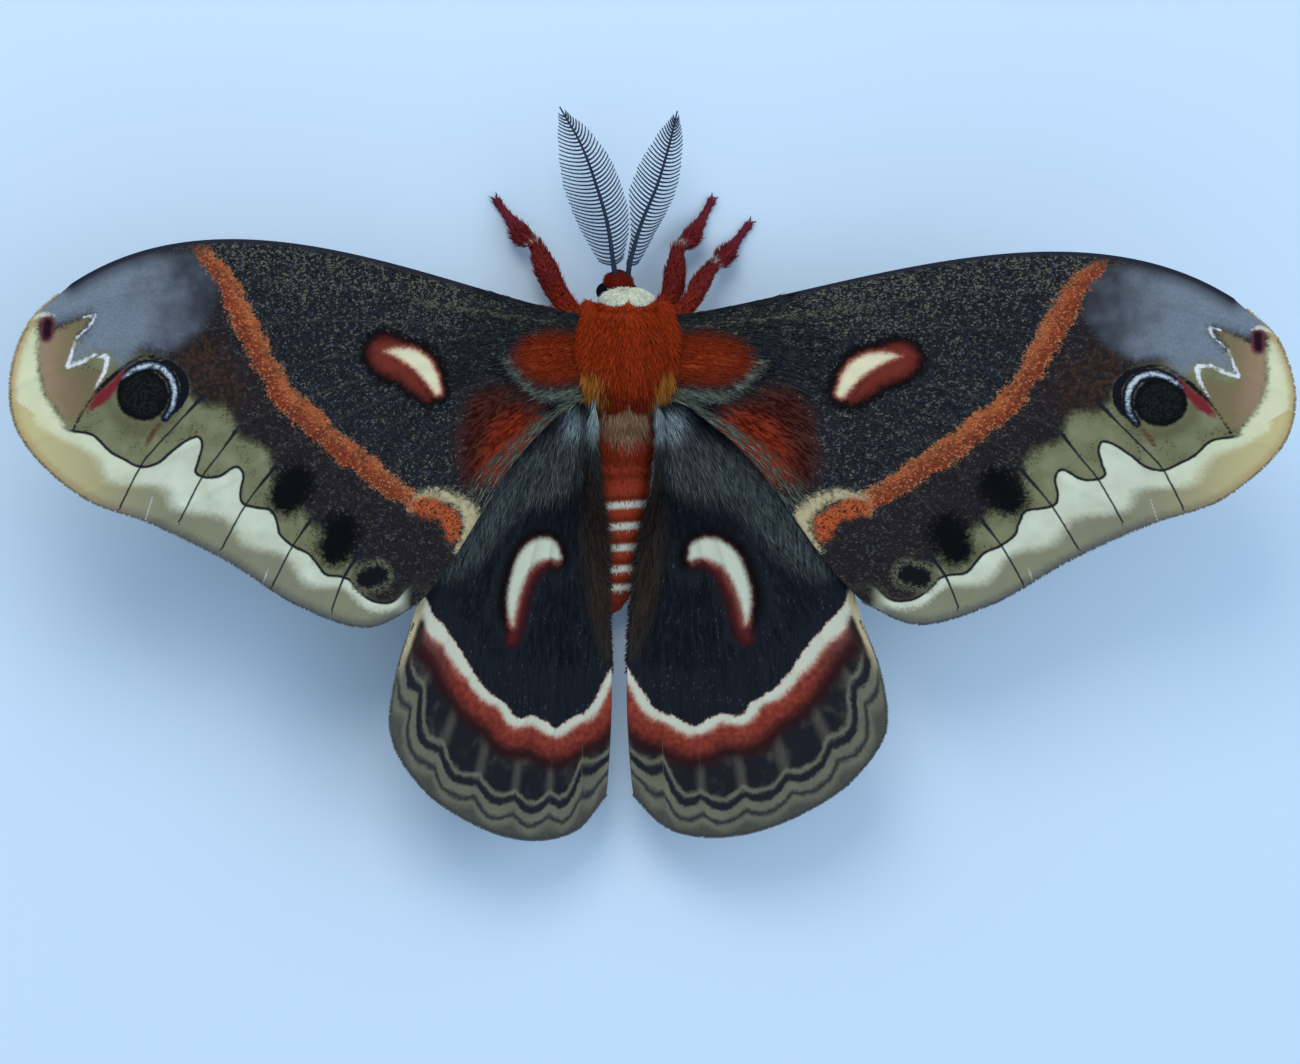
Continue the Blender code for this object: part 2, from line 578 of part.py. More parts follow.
def main():
    clear_scene()
    parts = [build_thorax(), build_abdomen(), build_collar()]
    parts += build_head()
    for leg in LEGS:
        parts.append(build_leg(*leg))
    for feeler in FEELERS:
        parts.append(build_feeler(*feeler))
    for word, side, shift in (("left", -1, 0.0), ("right", 1, RIGHT_INNER_SHIFT)):
        parts.append(build_wing("forewing_" + word, side, FOREWING_VEINS, FOREWING_LEVEL,
                                FOREWING_RISE, CELL_ROWS, "forewing_scales"))
        parts.append(build_wing("hindwing_" + word, side, HINDWING_VEINS, HINDWING_LEVEL,
                                HINDWING_RISE, HINDWING_CELL_ROWS, "hindwing_scales", shift))
    bpy.context.view_layer.update()
    stand = bpy.data.objects.new("moth_frame", None)
    bpy.context.scene.collection.objects.link(stand)
    stand.location = -footprint_middle(parts)
    collection = bpy.data.collections.new("cecropia_moth")
    bpy.context.scene.collection.children.link(collection)
    for part in parts:
        part.parent = stand
        bpy.context.scene.collection.objects.unlink(part)
        collection.objects.link(part)
        part.data.shade_smooth()


main()
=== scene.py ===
"""The looks of the cecropia moth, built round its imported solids.

Lengths are millimetres in the moth's own frame, as in the part's source: +X its right side, +Y towards
its head, +Z up, the floor at z = 0 and the body on x = 0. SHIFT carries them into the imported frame.
"""
import math

import bpy
import numpy as np
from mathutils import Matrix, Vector


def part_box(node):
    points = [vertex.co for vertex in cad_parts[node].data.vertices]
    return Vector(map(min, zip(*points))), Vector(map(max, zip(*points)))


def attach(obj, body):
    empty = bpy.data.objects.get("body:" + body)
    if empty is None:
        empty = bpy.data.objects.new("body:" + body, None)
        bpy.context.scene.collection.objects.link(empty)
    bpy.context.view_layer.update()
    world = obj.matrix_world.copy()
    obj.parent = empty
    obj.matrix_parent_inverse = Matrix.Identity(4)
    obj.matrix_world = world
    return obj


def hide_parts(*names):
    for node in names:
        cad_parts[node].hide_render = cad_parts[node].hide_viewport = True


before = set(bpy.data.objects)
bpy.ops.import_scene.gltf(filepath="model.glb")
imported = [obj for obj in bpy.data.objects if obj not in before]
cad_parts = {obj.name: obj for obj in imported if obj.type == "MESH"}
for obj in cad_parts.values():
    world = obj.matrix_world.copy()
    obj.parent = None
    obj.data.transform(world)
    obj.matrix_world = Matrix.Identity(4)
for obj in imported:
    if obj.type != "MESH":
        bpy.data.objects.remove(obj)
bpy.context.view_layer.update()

MM = 0.001
SEED = 11
UP = np.array([0.0, 0.0, 1.0])
UNMEASURED = 1e9               # a distance before any is found
FAR = 9.0                      # the longest distance that a mesh carries

# The moth's own frame, found from the left eye
LEFT_EYE = np.array([-1.9, 26.45, 7.1])
eye_low, eye_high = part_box("eye_left")
SHIFT = (np.array(eye_low) + np.array(eye_high)) / 2.0 / MM - LEFT_EYE

# Wings, as in the part's source
SPAN = 70.0
CAMBER = 0.9
FOREWING_LEVEL = 8.5
FOREWING_RISE = math.tan(math.radians(16.4))
HINDWING_LEVEL = 6.4
HINDWING_RISE = math.tan(math.radians(18.0))
ABDOMEN_CLEARANCE = 0.65
CELL_ROWS = (1, 6)             # the veins, counted from 0, between which the cell lies
CELL_END = 0.37
RIGHT_INNER_SHIFT = 0.35
ABDOMEN = [
    (15.5, 6.9, 3.5), (12.5, 6.5, 4.1), (9.0, 5.9, 4.3), (5.0, 5.2, 4.25), (1.0, 4.6, 4.0),
    (-3.0, 3.9, 3.45), (-6.0, 3.3, 2.8), (-7.8, 2.9, 2.1), (-8.8, 2.7, 1.0),
]
FOREWING_VEINS = [
    ("costa", [(3.4, 23.0), (22.0, 26.8), (43.0, 30.0), (62.6, 25.0)], 0.0),
    ("radius", [(3.4, 22.2), (22.5, 24.0), (44.0, 25.8), (67.2, 20.6)], 0.0),
    ("sector", [(3.4, 21.4), (23.5, 21.8), (45.5, 21.0), (69.0, 14.4)], 0.3),
    ("media_1", [(3.4, 20.6), (24.5, 19.5), (46.0, 15.6), (67.4, 8.9)], 0.37),
    ("media_2", [(3.4, 19.8), (25.0, 17.4), (44.0, 11.2), (61.4, 3.6)], 0.37),
    ("media_3", [(3.4, 19.0), (24.5, 15.2), (40.6, 8.0), (54.0, 0.9)], 0.37),
    ("cubitus_1", [(3.4, 18.1), (23.0, 13.2), (36.3, 4.9), (45.8, -2.9)], 0.0),
    ("cubitus_2", [(3.4, 17.2), (20.6, 11.2), (31.4, 2.3), (38.0, -7.5)], 0.25),
    ("anal", [(3.4, 16.2), (17.0, 9.6), (25.0, 1.4), (30.3, -9.8)], 0.0),
    ("inner", [(3.4, 15.0), (12.4, 8.3), (18.0, 0.6), (24.3, -7.4)], 0.0),
]
HINDWING_VEINS = [
    ("costa", [(3.4, 18.8), (13.5, 12.4), (20.5, 4.6), (23.9, -7.5)], 0.0),
    ("subcosta", [(3.4, 18.2), (11.9, 9.9), (19.2, -1.4), (26.6, -15.3)], 0.0),
    ("sector", [(3.4, 17.6), (10.5, 8.0), (17.6, -5.4), (27.0, -21.6)], 0.3),
    ("media_1", [(3.4, 17.0), (9.3, 6.4), (15.2, -8.0), (23.3, -27.0)], 0.37),
    ("media_2", [(3.4, 16.4), (8.2, 5.2), (12.6, -9.6), (18.2, -30.4)], 0.37),
    ("media_3", [(3.4, 15.8), (7.1, 4.3), (10.0, -10.5), (13.3, -32.3)], 0.37),
    ("cubitus_1", [(3.4, 15.3), (6.0, 3.7), (7.4, -10.9), (8.7, -32.7)], 0.0),
    ("cubitus_2", [(3.4, 14.8), (4.6, 3.3), (4.4, -10.6), (4.8, -31.6)], 0.25),
    ("inner", [(3.4, 14.2), (3.0, 3.0), (1.2, -9.6), (1.5, -28.2)], 0.0),
]
WING_HALF_THICKNESS = 0.11
VEIN_RIDGE = 0.16
VEIN_WIDTH = 0.26
VEIN_SAG = 0.1                 # how far the membrane sinks between its veins
FOREWING_GRID = (150, 230)
HINDWING_GRID = (130, 170)
# A wing's veins, level and rise, and how far its inner edge is shifted
FOREWING = (FOREWING_VEINS, FOREWING_LEVEL, FOREWING_RISE, 0.0)
# Word in the names of the pieces, side, and the shift of the hindwing's inner edge
SIDES = (("left", -1, 0.0), ("right", 1, RIGHT_INNER_SHIFT))

# Forewing markings on the right wing, as the photo shows them
BAND = [(49.4, 29.3), (48.0, 28.0), (46.3, 26.1), (44.9, 23.5), (43.8, 21.4), (42.7, 19.3), (41.7, 17.3),
        (40.6, 15.6), (39.1, 13.4), (37.2, 12.1), (35.8, 10.9), (34.2, 9.5), (32.5, 8.3), (30.5, 7.0),
        (28.5, 5.6), (26.8, 4.4), (25.0, 3.3)]
BAND_WIDTHS = [0.6, 0.8, 1.05, 1.25, 1.3, 1.2, 1.15, 1.2, 1.3, 1.2, 1.15, 1.3, 1.35, 1.25, 1.2, 1.05, 0.8]
WAVY_LINE = [(65.6, 11.5), (63.3, 10.3), (60.4, 9.8), (58.6, 8.2), (57.1, 7.4), (55.3, 6.6), (53.4, 7.0),
             (51.9, 8.2), (50.3, 9.3), (49.0, 9.7), (48.6, 8.8), (49.0, 7.2), (49.3, 6.1), (48.3, 5.6),
             (46.7, 5.7), (44.9, 6.7), (44.1, 5.8), (44.4, 4.0), (44.1, 2.9), (42.6, 2.5), (41.0, 2.2),
             (40.3, 0.7), (40.0, -0.3), (38.5, -1.5), (36.9, -2.2), (35.9, -3.3), (34.9, -4.4),
             (33.3, -4.6), (32.2, -5.0), (31.3, -6.0), (29.8, -7.1), (28.2, -7.4), (27.0, -7.1),
             (25.4, -5.8), (24.0, -5.7), (21.0, -7.0)]
LOBES = [(60.0, 18.9), (54.0, 17.9), (50.7, 16.4), (49.7, 14.3), (48.4, 13.1), (46.2, 13.0), (45.0, 11.6),
         (44.4, 9.9), (42.6, 9.3), (41.2, 8.3), (40.7, 6.5), (40.5, 4.5), (39.2, 2.6), (37.6, 2.6),
         (36.6, 1.2), (35.4, 0.4), (33.9, -0.6), (32.4, -1.8), (31.4, -3.6), (31.1, -5.2),
         (29.6, -6.9), (27.6, -7.2), (25.4, -5.7), (24.0, -5.7), (21.0, -7.0)]
EYESPOT = (55.0, 13.9)
EYESPOT_RADII = (2.85, 2.65)
EYE_LINE = [(52.2, 11.8), (51.0, 13.0), (50.5, 14.4), (50.7, 15.7), (51.5, 16.7), (52.7, 17.4), (54.4, 17.8),
            (56.0, 17.4), (57.5, 16.3), (59.0, 15.0), (60.5, 13.6), (61.5, 12.1), (62.4, 10.2), (63.3, 6.9)]
EYE_LINE_WIDTHS = [0.12, 0.35, 0.5, 0.5, 0.4, 0.25, 0.18, 0.18, 0.22, 0.28, 0.28, 0.22, 0.14, 0.08]
EYE_CRESCENT = [(52.6, 11.6), (51.8, 12.8), (51.6, 14.3), (52.0, 15.7), (53.1, 16.7), (54.6, 16.9),
                (56.0, 16.4), (57.3, 15.5)]
EYE_RED = [(57.0, 16.2), (58.3, 14.6), (59.5, 13.5), (60.6, 12.5)]
ZIGZAG = [(61.4, 21.6), (60.0, 21.9), (60.6, 20.8), (62.1, 19.5), (62.5, 18.2), (63.1, 16.6), (61.6, 17.1),
          (60.2, 17.8), (58.8, 17.7), (59.0, 16.3), (60.2, 14.3)]
ZIGZAG_WIDTHS = [0.06, 0.11, 0.08, 0.08, 0.11, 0.18, 0.2, 0.13, 0.25, 0.18, 0.08]
APICAL_SPOT = [(65.1, 21.0), (65.2, 19.7)]
APICAL_CAP = [(64.4, 21.6), (65.2, 21.9), (66.0, 21.7), (66.8, 21.3)]
GREY_FIELD = [(46.5, 26.4), (48.3, 28.3), (52.9, 28.8), (57.6, 28.0), (62.4, 26.6), (66.8, 23.6),
              (66.4, 21.9), (64.5, 20.8), (62.7, 21.2), (60.4, 21.8), (61.8, 19.6), (62.9, 16.7),
              (60.4, 17.8), (58.8, 17.8), (57.3, 16.7), (55.0, 18.4), (52.4, 18.2), (50.0, 19.3),
              (48.3, 20.8), (46.9, 23.2)]
PINK_FIELD = [(60.8, 21.6), (62.5, 21.0), (64.3, 20.0), (65.6, 19.3), (65.8, 16.8), (65.2, 14.3),
              (64.1, 12.5), (62.9, 11.2), (61.8, 11.8), (60.4, 13.9), (59.6, 16.0), (63.1, 16.3),
              (62.7, 18.6)]
CREAM_TIP = [(62.9, 9.8), (64.3, 12.0), (65.6, 13.9), (66.2, 16.3), (66.2, 19.0), (66.6, 20.8), (69.5, 21.0),
             (72.0, 17.9), (72.0, 12.7), (71.5, 9.0), (68.3, 5.0), (65.6, 3.0), (62.9, 2.4), (61.4, 6.6)]
BROWN_FIELD = [(43.8, 14.1), (45.2, 17.3), (48.3, 19.5), (51.4, 17.3), (50.3, 14.1), (47.8, 12.8),
               (45.5, 12.5)]
DISCAL = [(22.2, 14.9), (22.9, 16.2), (23.8, 17.4), (25.0, 18.2), (26.2, 18.6), (27.4, 18.8), (28.4, 18.8)]
DISCAL_WIDTHS = [0.65, 0.95, 1.1, 1.05, 0.8, 0.45, 0.1]
DISCAL_RED = [(23.4, 14.3), (24.6, 15.4), (26.0, 16.7), (27.6, 17.5), (28.9, 18.4), (28.6, 19.3),
              (27.3, 19.6), (25.8, 19.1)]
DISCAL_RED_WIDTHS = [0.6, 0.95, 1.15, 1.35, 1.3, 1.0, 0.65, 0.35]
BASE_PATCH = [(4.5, 21.2), (8.6, 21.3), (11.8, 20.2), (13.0, 18.3), (12.0, 16.8), (9.6, 15.8), (7.0, 15.9),
              (4.5, 16.6)]
BASE_ARC = [(5.4, 15.0), (7.8, 14.6), (10.1, 14.7), (12.1, 16.0), (13.9, 18.2)]
BLACK_ARC = [(6.0, 13.6), (9.0, 13.3), (11.4, 13.9), (13.6, 15.5), (15.6, 18.0)]
SECOND_PATCH = [(10.1, 11.5), (11.4, 13.9), (15.0, 15.8), (18.0, 14.7), (19.5, 10.9), (19.5, 6.6),
                (18.0, 4.5), (15.0, 5.8), (12.4, 8.3), (10.4, 9.9)]
SECOND_CORE = [(11.4, 11.5), (13.9, 9.9), (15.5, 7.2)]
OLIVE_STREAK = [(5.8, 21.9), (11.9, 22.4), (17.0, 23.1), (25.1, 24.1)]
INNER_RED = [(24.6, 2.7), (23.4, 2.6), (21.8, 2.1), (20.6, 1.0), (20.4, -0.3)]
INNER_RED_WIDTHS = [0.7, 1.0, 0.75, 1.0, 0.6]
INNER_CREAM = [(25.0, 2.4), (24.3, 3.5), (22.1, 3.9), (20.1, 3.4), (18.5, 2.1), (18.1, 0.5), (18.7, -0.9),
               (19.6, -1.9)]
INNER_CREAM_WIDTHS = [0.3, 0.5, 0.55, 0.7, 1.0, 1.05, 0.8, 0.4]
BLACK_SPOTS = [[(38.1, 5.0), (39.5, 3.6)], [(33.1, 0.0), (33.9, -1.7)]]
BLACK_SPOT_WIDTHS = [1.9, 2.0]
RING_SPOT = [(29.0, -4.5), (30.5, -4.9)]
NICKS = [[(54.0, 3.4), (54.7, 1.3)], [(41.4, -3.9), (41.8, -5.1)]]
EYE_TICK = [(53.2, 10.9), (54.0, 9.9), (54.6, 8.9)]
VEIN_STREAKS = [
    [(48.5, 13.9), (51.4, 10.9), (54.0, 8.2), (55.3, 6.6), (57.4, 2.6)],
    [(44.9, 10.4), (46.7, 8.0), (48.6, 5.6), (51.0, 1.2)],
    [(40.7, 6.6), (43.8, 2.8), (46.4, -1.6)],
    [(36.7, 1.1), (38.7, -1.6), (40.8, -5.4)],
    [(30.8, -1.9), (32.8, -4.6), (34.2, -8.0)],
]

# Hindwing markings
CRESCENT = [(7.5, -2.6), (8.0, -2.1), (8.8, -1.8), (9.7, -1.9), (10.6, -2.4), (11.5, -3.3), (12.2, -4.8),
            (12.8, -6.7), (13.0, -8.5), (12.9, -9.8)]
CRESCENT_WIDTHS = [0.6, 1.1, 1.3, 1.35, 1.3, 1.15, 1.0, 0.85, 0.6, 0.25]
CRESCENT_RED = [(7.6, -3.5), (8.8, -3.4), (9.8, -3.9), (10.6, -4.8), (11.2, -6.0), (11.8, -7.6),
                (12.4, -9.6), (12.9, -11.4)]
CRESCENT_RED_WIDTHS = [0.3, 0.5, 0.6, 0.7, 0.75, 0.8, 0.95, 0.8]
WHITE_LINE = [(27.2, -0.6), (25.3, -3.6), (23.7, -6.2), (22.3, -8.6), (20.7, -10.3), (19.3, -12.1),
              (18.2, -13.8), (17.1, -15.4), (15.9, -16.8), (14.6, -17.6), (13.6, -18.3), (12.7, -19.5),
              (11.9, -19.8), (10.5, -19.5), (9.3, -20.0), (7.8, -20.9), (6.8, -20.5), (5.5, -19.8),
              (4.1, -19.3), (3.2, -18.3), (2.2, -16.8), (1.4, -15.4), (0.2, -13.4)]
SLATE_FIELD = [(4.0, 12.0), (9.0, 10.0), (14.0, 6.5), (18.5, 2.0), (21.5, -4.0), (17.5, -3.0), (12.0, 3.0),
               (7.5, 4.5), (5.0, 7.0)]
BROWN_EDGE = [(2.2, 9.0), (3.2, 2.0), (3.0, -4.0), (2.2, -9.0), (1.4, -13.0)]
BROWN_EDGE_WIDTHS = [1.0, 1.2, 1.2, 1.0, 0.5]
MARGIN_TAPER = 5.5


def linear(red, green, blue):
    """A colour given from 0 to 255 as a screen shows it, for a shader."""
    parts = [value / 255.0 for value in (red, green, blue)]
    return tuple(p / 12.92 if p <= 0.04045 else ((p + 0.055) / 1.055) ** 2.4 for p in parts) + (1.0,)


def curve(points, t):
    """Points at each t from 0 to 1 on the smooth curve through evenly spaced points."""
    points = np.asarray(points, float)
    t = np.asarray(t, float)
    last = len(points) - 1
    place = np.clip(t, 0.0, 1.0) * last
    i = np.minimum(place.astype(int), last - 1)
    u = (place - i).reshape(i.shape + (1,) * (points.ndim - 1))
    ends = np.concatenate([2.0 * points[:1] - points[1:2], points, 2.0 * points[-1:] - points[-2:-1]])
    p0, p1, p2, p3 = (ends[i + k] for k in range(4))
    return 0.5 * (2.0 * p1 + (p2 - p0) * u + (2.0 * p0 - 5.0 * p1 + 4.0 * p2 - p3) * u ** 2
                  + (3.0 * p1 - p0 - 3.0 * p2 + p3) * u ** 3)


def mirrored(points, side):
    """Points of the right side, or their mirror image on the left where side is -1."""
    return np.asarray(points, float) * np.array([side, 1.0, 1.0])


def smooth_step(value, low, high):
    u = np.clip((value - low) / (high - low), 0.0, 1.0)
    return u * u * (3.0 - 2.0 * u)


def nearest(points, line):
    """For each point: distance to a polyline, its side (+1 on the left) and how far along, 0 to 1."""
    line = np.asarray(line, float)
    best = np.full(len(points), UNMEASURED)
    side = np.ones(len(points))
    along = np.zeros(len(points))
    for k, (a, b) in enumerate(zip(line, line[1:])):
        step = b - a
        u = np.clip(((points - a) @ step) / (step @ step), 0.0, 1.0)
        off = points - (a + u[:, None] * step)
        distance = np.hypot(off[:, 0], off[:, 1])
        closer = distance < best
        best[closer] = distance[closer]
        side[closer] = np.sign(step[0] * off[closer, 1] - step[1] * off[closer, 0])
        along[closer] = (k + u[closer]) / (len(line) - 1)
    return best, side, along


def fine(points, steps=6, closed=False):
    """A smooth curve's points as a finer polyline."""
    points = list(points) + [points[0]] if closed else points
    return curve(points, np.linspace(0.0, 1.0, steps * (len(points) - 1) + 1))


def across(points, line):
    """Distance to a smooth open curve, positive on its left as it runs."""
    distance, side = nearest(points, fine(line))[:2]
    return distance * side


def ribbon(points, line, widths):
    """Distance to the edge of a ribbon laid along a smooth curve, negative inside it."""
    distance, _, along = nearest(points, fine(line))
    return distance - curve(widths, along)


def patch(points, outline):
    """Distance to a closed smooth outline, negative inside it."""
    ring = fine(outline, closed=True)
    distance = nearest(points, ring)[0]
    inside = np.zeros(len(points), bool)
    for a, b in zip(ring, ring[1:]):
        spans = (a[1] > points[:, 1]) != (b[1] > points[:, 1])
        slope = (b[0] - a[0]) / (b[1] - a[1] if b[1] != a[1] else 1e-9)
        inside ^= spans & (points[:, 0] < a[0] + slope * (points[:, 1] - a[1]))
    return np.where(inside, -distance, distance)


def thin_lines(points, lines):
    """Distance to the nearest of some thin lines, with a sign for its side and without."""
    signed = np.zeros(len(points))
    best = np.full(len(points), UNMEASURED)
    for line in lines:
        distance, side = nearest(points, fine(line))[:2]
        closer = distance < best
        best[closer] = distance[closer]
        signed[closer] = (distance * side)[closer]
    return signed, best


def make_mesh(name, points, faces, material, fields=None, colours=None, uvs=None):
    """A smooth-shaded object from points in millimetres, with its named attributes."""
    mesh = bpy.data.meshes.new(name)
    faces = faces if isinstance(faces, list) else faces.tolist()
    mesh.from_pydata(((points + SHIFT) * MM).tolist(), [], faces)
    for key, values in (fields or {}).items():
        mesh.attributes.new(key, "FLOAT", "POINT").data.foreach_set("value", values.astype(np.float32))
    if colours is not None:
        rgba = np.concatenate([colours, np.ones((len(colours), 1))], axis=1).astype(np.float32)
        mesh.attributes.new("marking", "FLOAT_COLOR", "POINT").data.foreach_set("color", rgba.ravel())
    if uvs is not None:
        corners = np.empty(len(mesh.loops), np.int32)
        mesh.loops.foreach_get("vertex_index", corners)
        mesh.uv_layers.new(name="OFBake").data.foreach_set("uv", uvs[corners].astype(np.float32).ravel())
    mesh.polygons.foreach_set("use_smooth", np.ones(len(mesh.polygons), bool))
    mesh.materials.append(material)
    made = bpy.data.objects.new(name, mesh)
    bpy.context.scene.collection.objects.link(made)
    return made


def shown(colour):
    """A colour's socket as it is, or its three values from 0 to 255 made linear."""
    return linear(*colour) if isinstance(colour, tuple) else colour


class Paint:
    """A Principled material painted in layers, each laid over the last where its mask is 1."""

    def __init__(self, name, roughness, specular=0.25):
        self.material = bpy.data.materials.new(name)
        self.material.use_nodes = True
        self.tree = self.material.node_tree
        self.shader = self.tree.nodes["Principled BSDF"]
        self.shader.inputs["Roughness"].default_value = roughness
        self.shader.inputs["Specular IOR Level"].default_value = specular
        self.place = self.add("ShaderNodeTexCoord").outputs["Object"]
        self.colour = None
        self.jitter = None
        self.fields = {}

    def add(self, kind, **settings):
        node = self.tree.nodes.new(kind)
        for key, value in settings.items():
            setattr(node, key, value)
        return node

    def join(self, value, socket):
        """Link an output to a socket, or set a plain value on it."""
        if isinstance(value, bpy.types.NodeSocket):
            self.tree.links.new(value, socket)
        else:
            socket.default_value = value

    def calc(self, operation, *values):
        node = self.add("ShaderNodeMath", operation=operation)
        for value, socket in zip(values, node.inputs):
            self.join(value, socket)
        return node.outputs["Value"]

    def ramp(self, value, slope, start):
        return self.calc("MULTIPLY_ADD", value, slope, start)

    def times(self, *values):
        """The product of some masks and shares."""
        result = values[0]
        for value in values[1:]:
            result = self.calc("MULTIPLY", result, value)
        return result

    def stretched(self, x, y, z):
        """The place on the object, counted in steps of so many millimetres along each axis."""
        node = self.add("ShaderNodeMapping")
        node.inputs["Scale"].default_value = (1.0 / (x * MM), 1.0 / (y * MM), 1.0 / (z * MM))
        self.join(self.place, node.inputs["Vector"])
        return node.outputs["Vector"]

    def noise(self, x, y=None, z=None, detail=2.0):
        """Smooth noise around 0.5 with features of that size in millimetres."""
        node = self.add("ShaderNodeTexNoise")
        node.inputs["Scale"].default_value = 1.0
        node.inputs["Detail"].default_value = detail
        self.join(self.stretched(x, y or x, z or x), node.inputs["Vector"])
        return node.outputs["Fac"]

    def cells(self, x, y, z):
        """One random number from 0 to 1 for each scale, three times over, and its relief."""
        node = self.add("ShaderNodeTexVoronoi")
        node.inputs["Scale"].default_value = 1.0
        self.join(self.stretched(x, y, z), node.inputs["Vector"])
        split = self.add("ShaderNodeSeparateColor")
        self.join(node.outputs["Color"], split.inputs["Color"])
        return split.outputs[0], split.outputs[1], split.outputs[2], node.outputs["Distance"]

    def field(self, name, rough):
        """A distance carried by the mesh, roughened by the scales."""
        if name not in self.fields:
            self.fields[name] = self.add("ShaderNodeAttribute", attribute_name=name).outputs["Fac"]
        if self.jitter is None or rough == 0.0:
            return self.fields[name]
        return self.ramp(self.jitter, rough, self.fields[name])

    def over(self, value, edge, soft=0.12):
        """1 where the value is above the edge."""
        node = self.add("ShaderNodeMapRange", interpolation_type="SMOOTHSTEP")
        self.join(value, node.inputs["Value"])
        self.join(edge - soft, node.inputs["From Min"])
        self.join(edge + soft, node.inputs["From Max"])
        return node.outputs["Result"]

    def under(self, value, edge, soft=0.12):
        """1 where the value is below the edge."""
        return self.calc("SUBTRACT", 1.0, self.over(value, edge, soft))

    def between(self, value, low, high, soft=0.12):
        return self.times(self.over(value, low, soft), self.under(value, high, soft))

    def blend(self, first, second, share):
        """A colour between two, by a share from 0 to 1."""
        node = self.add("ShaderNodeMix", data_type="RGBA")
        for value, place in ((share, 0), (shown(first), 6), (shown(second), 7)):
            self.join(value, node.inputs[place])
        return node.outputs[2]

    def lay(self, colour, mask):
        self.colour = self.blend(self.colour, colour, mask)

    def above(self, name, rough, edge, soft):
        """1 where a field, roughened, is above the edge."""
        return self.over(self.field(name, rough), edge, soft)

    def below(self, name, rough, edge, soft):
        return self.under(self.field(name, rough), edge, soft)

    def mark(self, colour, name, rough, edge, soft):
        self.lay(colour, self.below(name, rough, edge, soft))

    def set_grain(self, scale, wide, clump, shares):
        """Random numbers for each scale, two mottlings, and the jitter that roughens every edge."""
        self.red, self.green, self.blue, self.relief = self.cells(*scale)
        self.wide = self.noise(wide, detail=3.0)
        self.clump = self.noise(clump)
        self.jitter = self.ramp(self.clump, shares[0], self.ramp(self.red, shares[1], shares[2]))

    def finish(self, relief=None, strength=0.3, depth=0.03):
        """Join the colour to the shader, with a bump of so many millimetres."""
        self.join(shown(self.colour), self.shader.inputs["Base Color"])
        if relief is not None:
            bump = self.add("ShaderNodeBump")
            bump.inputs["Strength"].default_value = strength
            bump.inputs["Distance"].default_value = depth * MM
            self.join(relief, bump.inputs["Height"])
            self.join(bump.outputs["Normal"], self.shader.inputs["Normal"])
        return self.material


# Wings

def vein_rows(veins, t):
    """Each vein's points at t from root to edge, on the one cubic through its four points."""
    control = np.array([vein[1] for vein in veins])
    u = 3.0 * t
    weights = np.stack([-(u - 1.0) * (u - 2.0) * (u - 3.0) / 6.0, u * (u - 2.0) * (u - 3.0) / 2.0,
                        -u * (u - 1.0) * (u - 3.0) / 2.0, u * (u - 1.0) * (u - 2.0) / 6.0])
    return np.einsum("rkc,kt->rtc", control, weights)


def sheet_height(x, level, rise):
    """Height of a wing's middle surface at x from the body."""
    share = np.minimum(np.abs(x) / SPAN, 1.0)
    return level + rise * np.abs(x) + CAMBER * np.sin(math.pi * share)


def over_abdomen(x, y, z):
    """Lift a wing's surface clear of the abdomen where it would cross it."""
    stations = np.array(ABDOMEN)[::-1]
    centre = np.interp(y, stations[:, 0], stations[:, 1])
    reach = np.interp(y, stations[:, 0], stations[:, 2]) + ABDOMEN_CLEARANCE
    beside = (np.abs(x) < reach) & (y > stations[0, 0])
    lifted = centre + np.sqrt(np.maximum(reach ** 2 - x ** 2, 0.0))
    return np.where(beside, np.maximum(z, lifted), z)


def wing_surface(wing, columns, stations):
    """A right wing's middle surface on a grid, distances to a raised vein, and the arch between veins."""
    veins, level, rise, inner_shift = wing
    u = np.linspace(0.0, 1.0, columns)
    t = np.linspace(0.0, 1.0, stations)
    rows = vein_rows(veins, t)
    last = len(veins) - 1
    plan = curve(rows, u)
    bulge = u[:, None] ** 6 * np.sin(math.pi * np.minimum(t * 1.4, 1.0))[None, :]
    x = plan[..., 0] + inner_shift * bulge
    y = plan[..., 1]
    z = over_abdomen(x, y, sheet_height(x, level, rise))
    place = u * last
    row = np.minimum(np.round(place).astype(int), last)
    spacing = np.linalg.norm(np.diff(rows, axis=0), axis=2)
    width = spacing[np.minimum(np.floor(place).astype(int), last - 1)]
    vein = np.abs(place - row)[:, None] * width
    starts = np.array([entry[2] for entry in veins])[row]
    vein = np.where(t[None, :] > starts[:, None], vein, FAR)
    length = np.linalg.norm(rows[last // 2, -1] - rows[last // 2, 0])
    in_cell = (place[:, None] > CELL_ROWS[0]) & (place[:, None] < CELL_ROWS[1])
    cross = np.where(in_cell, np.abs(t[None, :] - CELL_END) * length, FAR)
    vein = np.minimum(vein, cross)
    raised = smooth_step(t, 0.0, 0.15)[None, :]
    ridge = VEIN_RIDGE * np.exp(-(vein / VEIN_WIDTH) ** 2)
    arch = np.sin(math.pi * (place - np.floor(place)))[:, None] * np.ones(stations)
    z = z + raised * (ridge - VEIN_SAG * arch ** 2)
    return np.stack([x, y, z], axis=-1), vein, arch


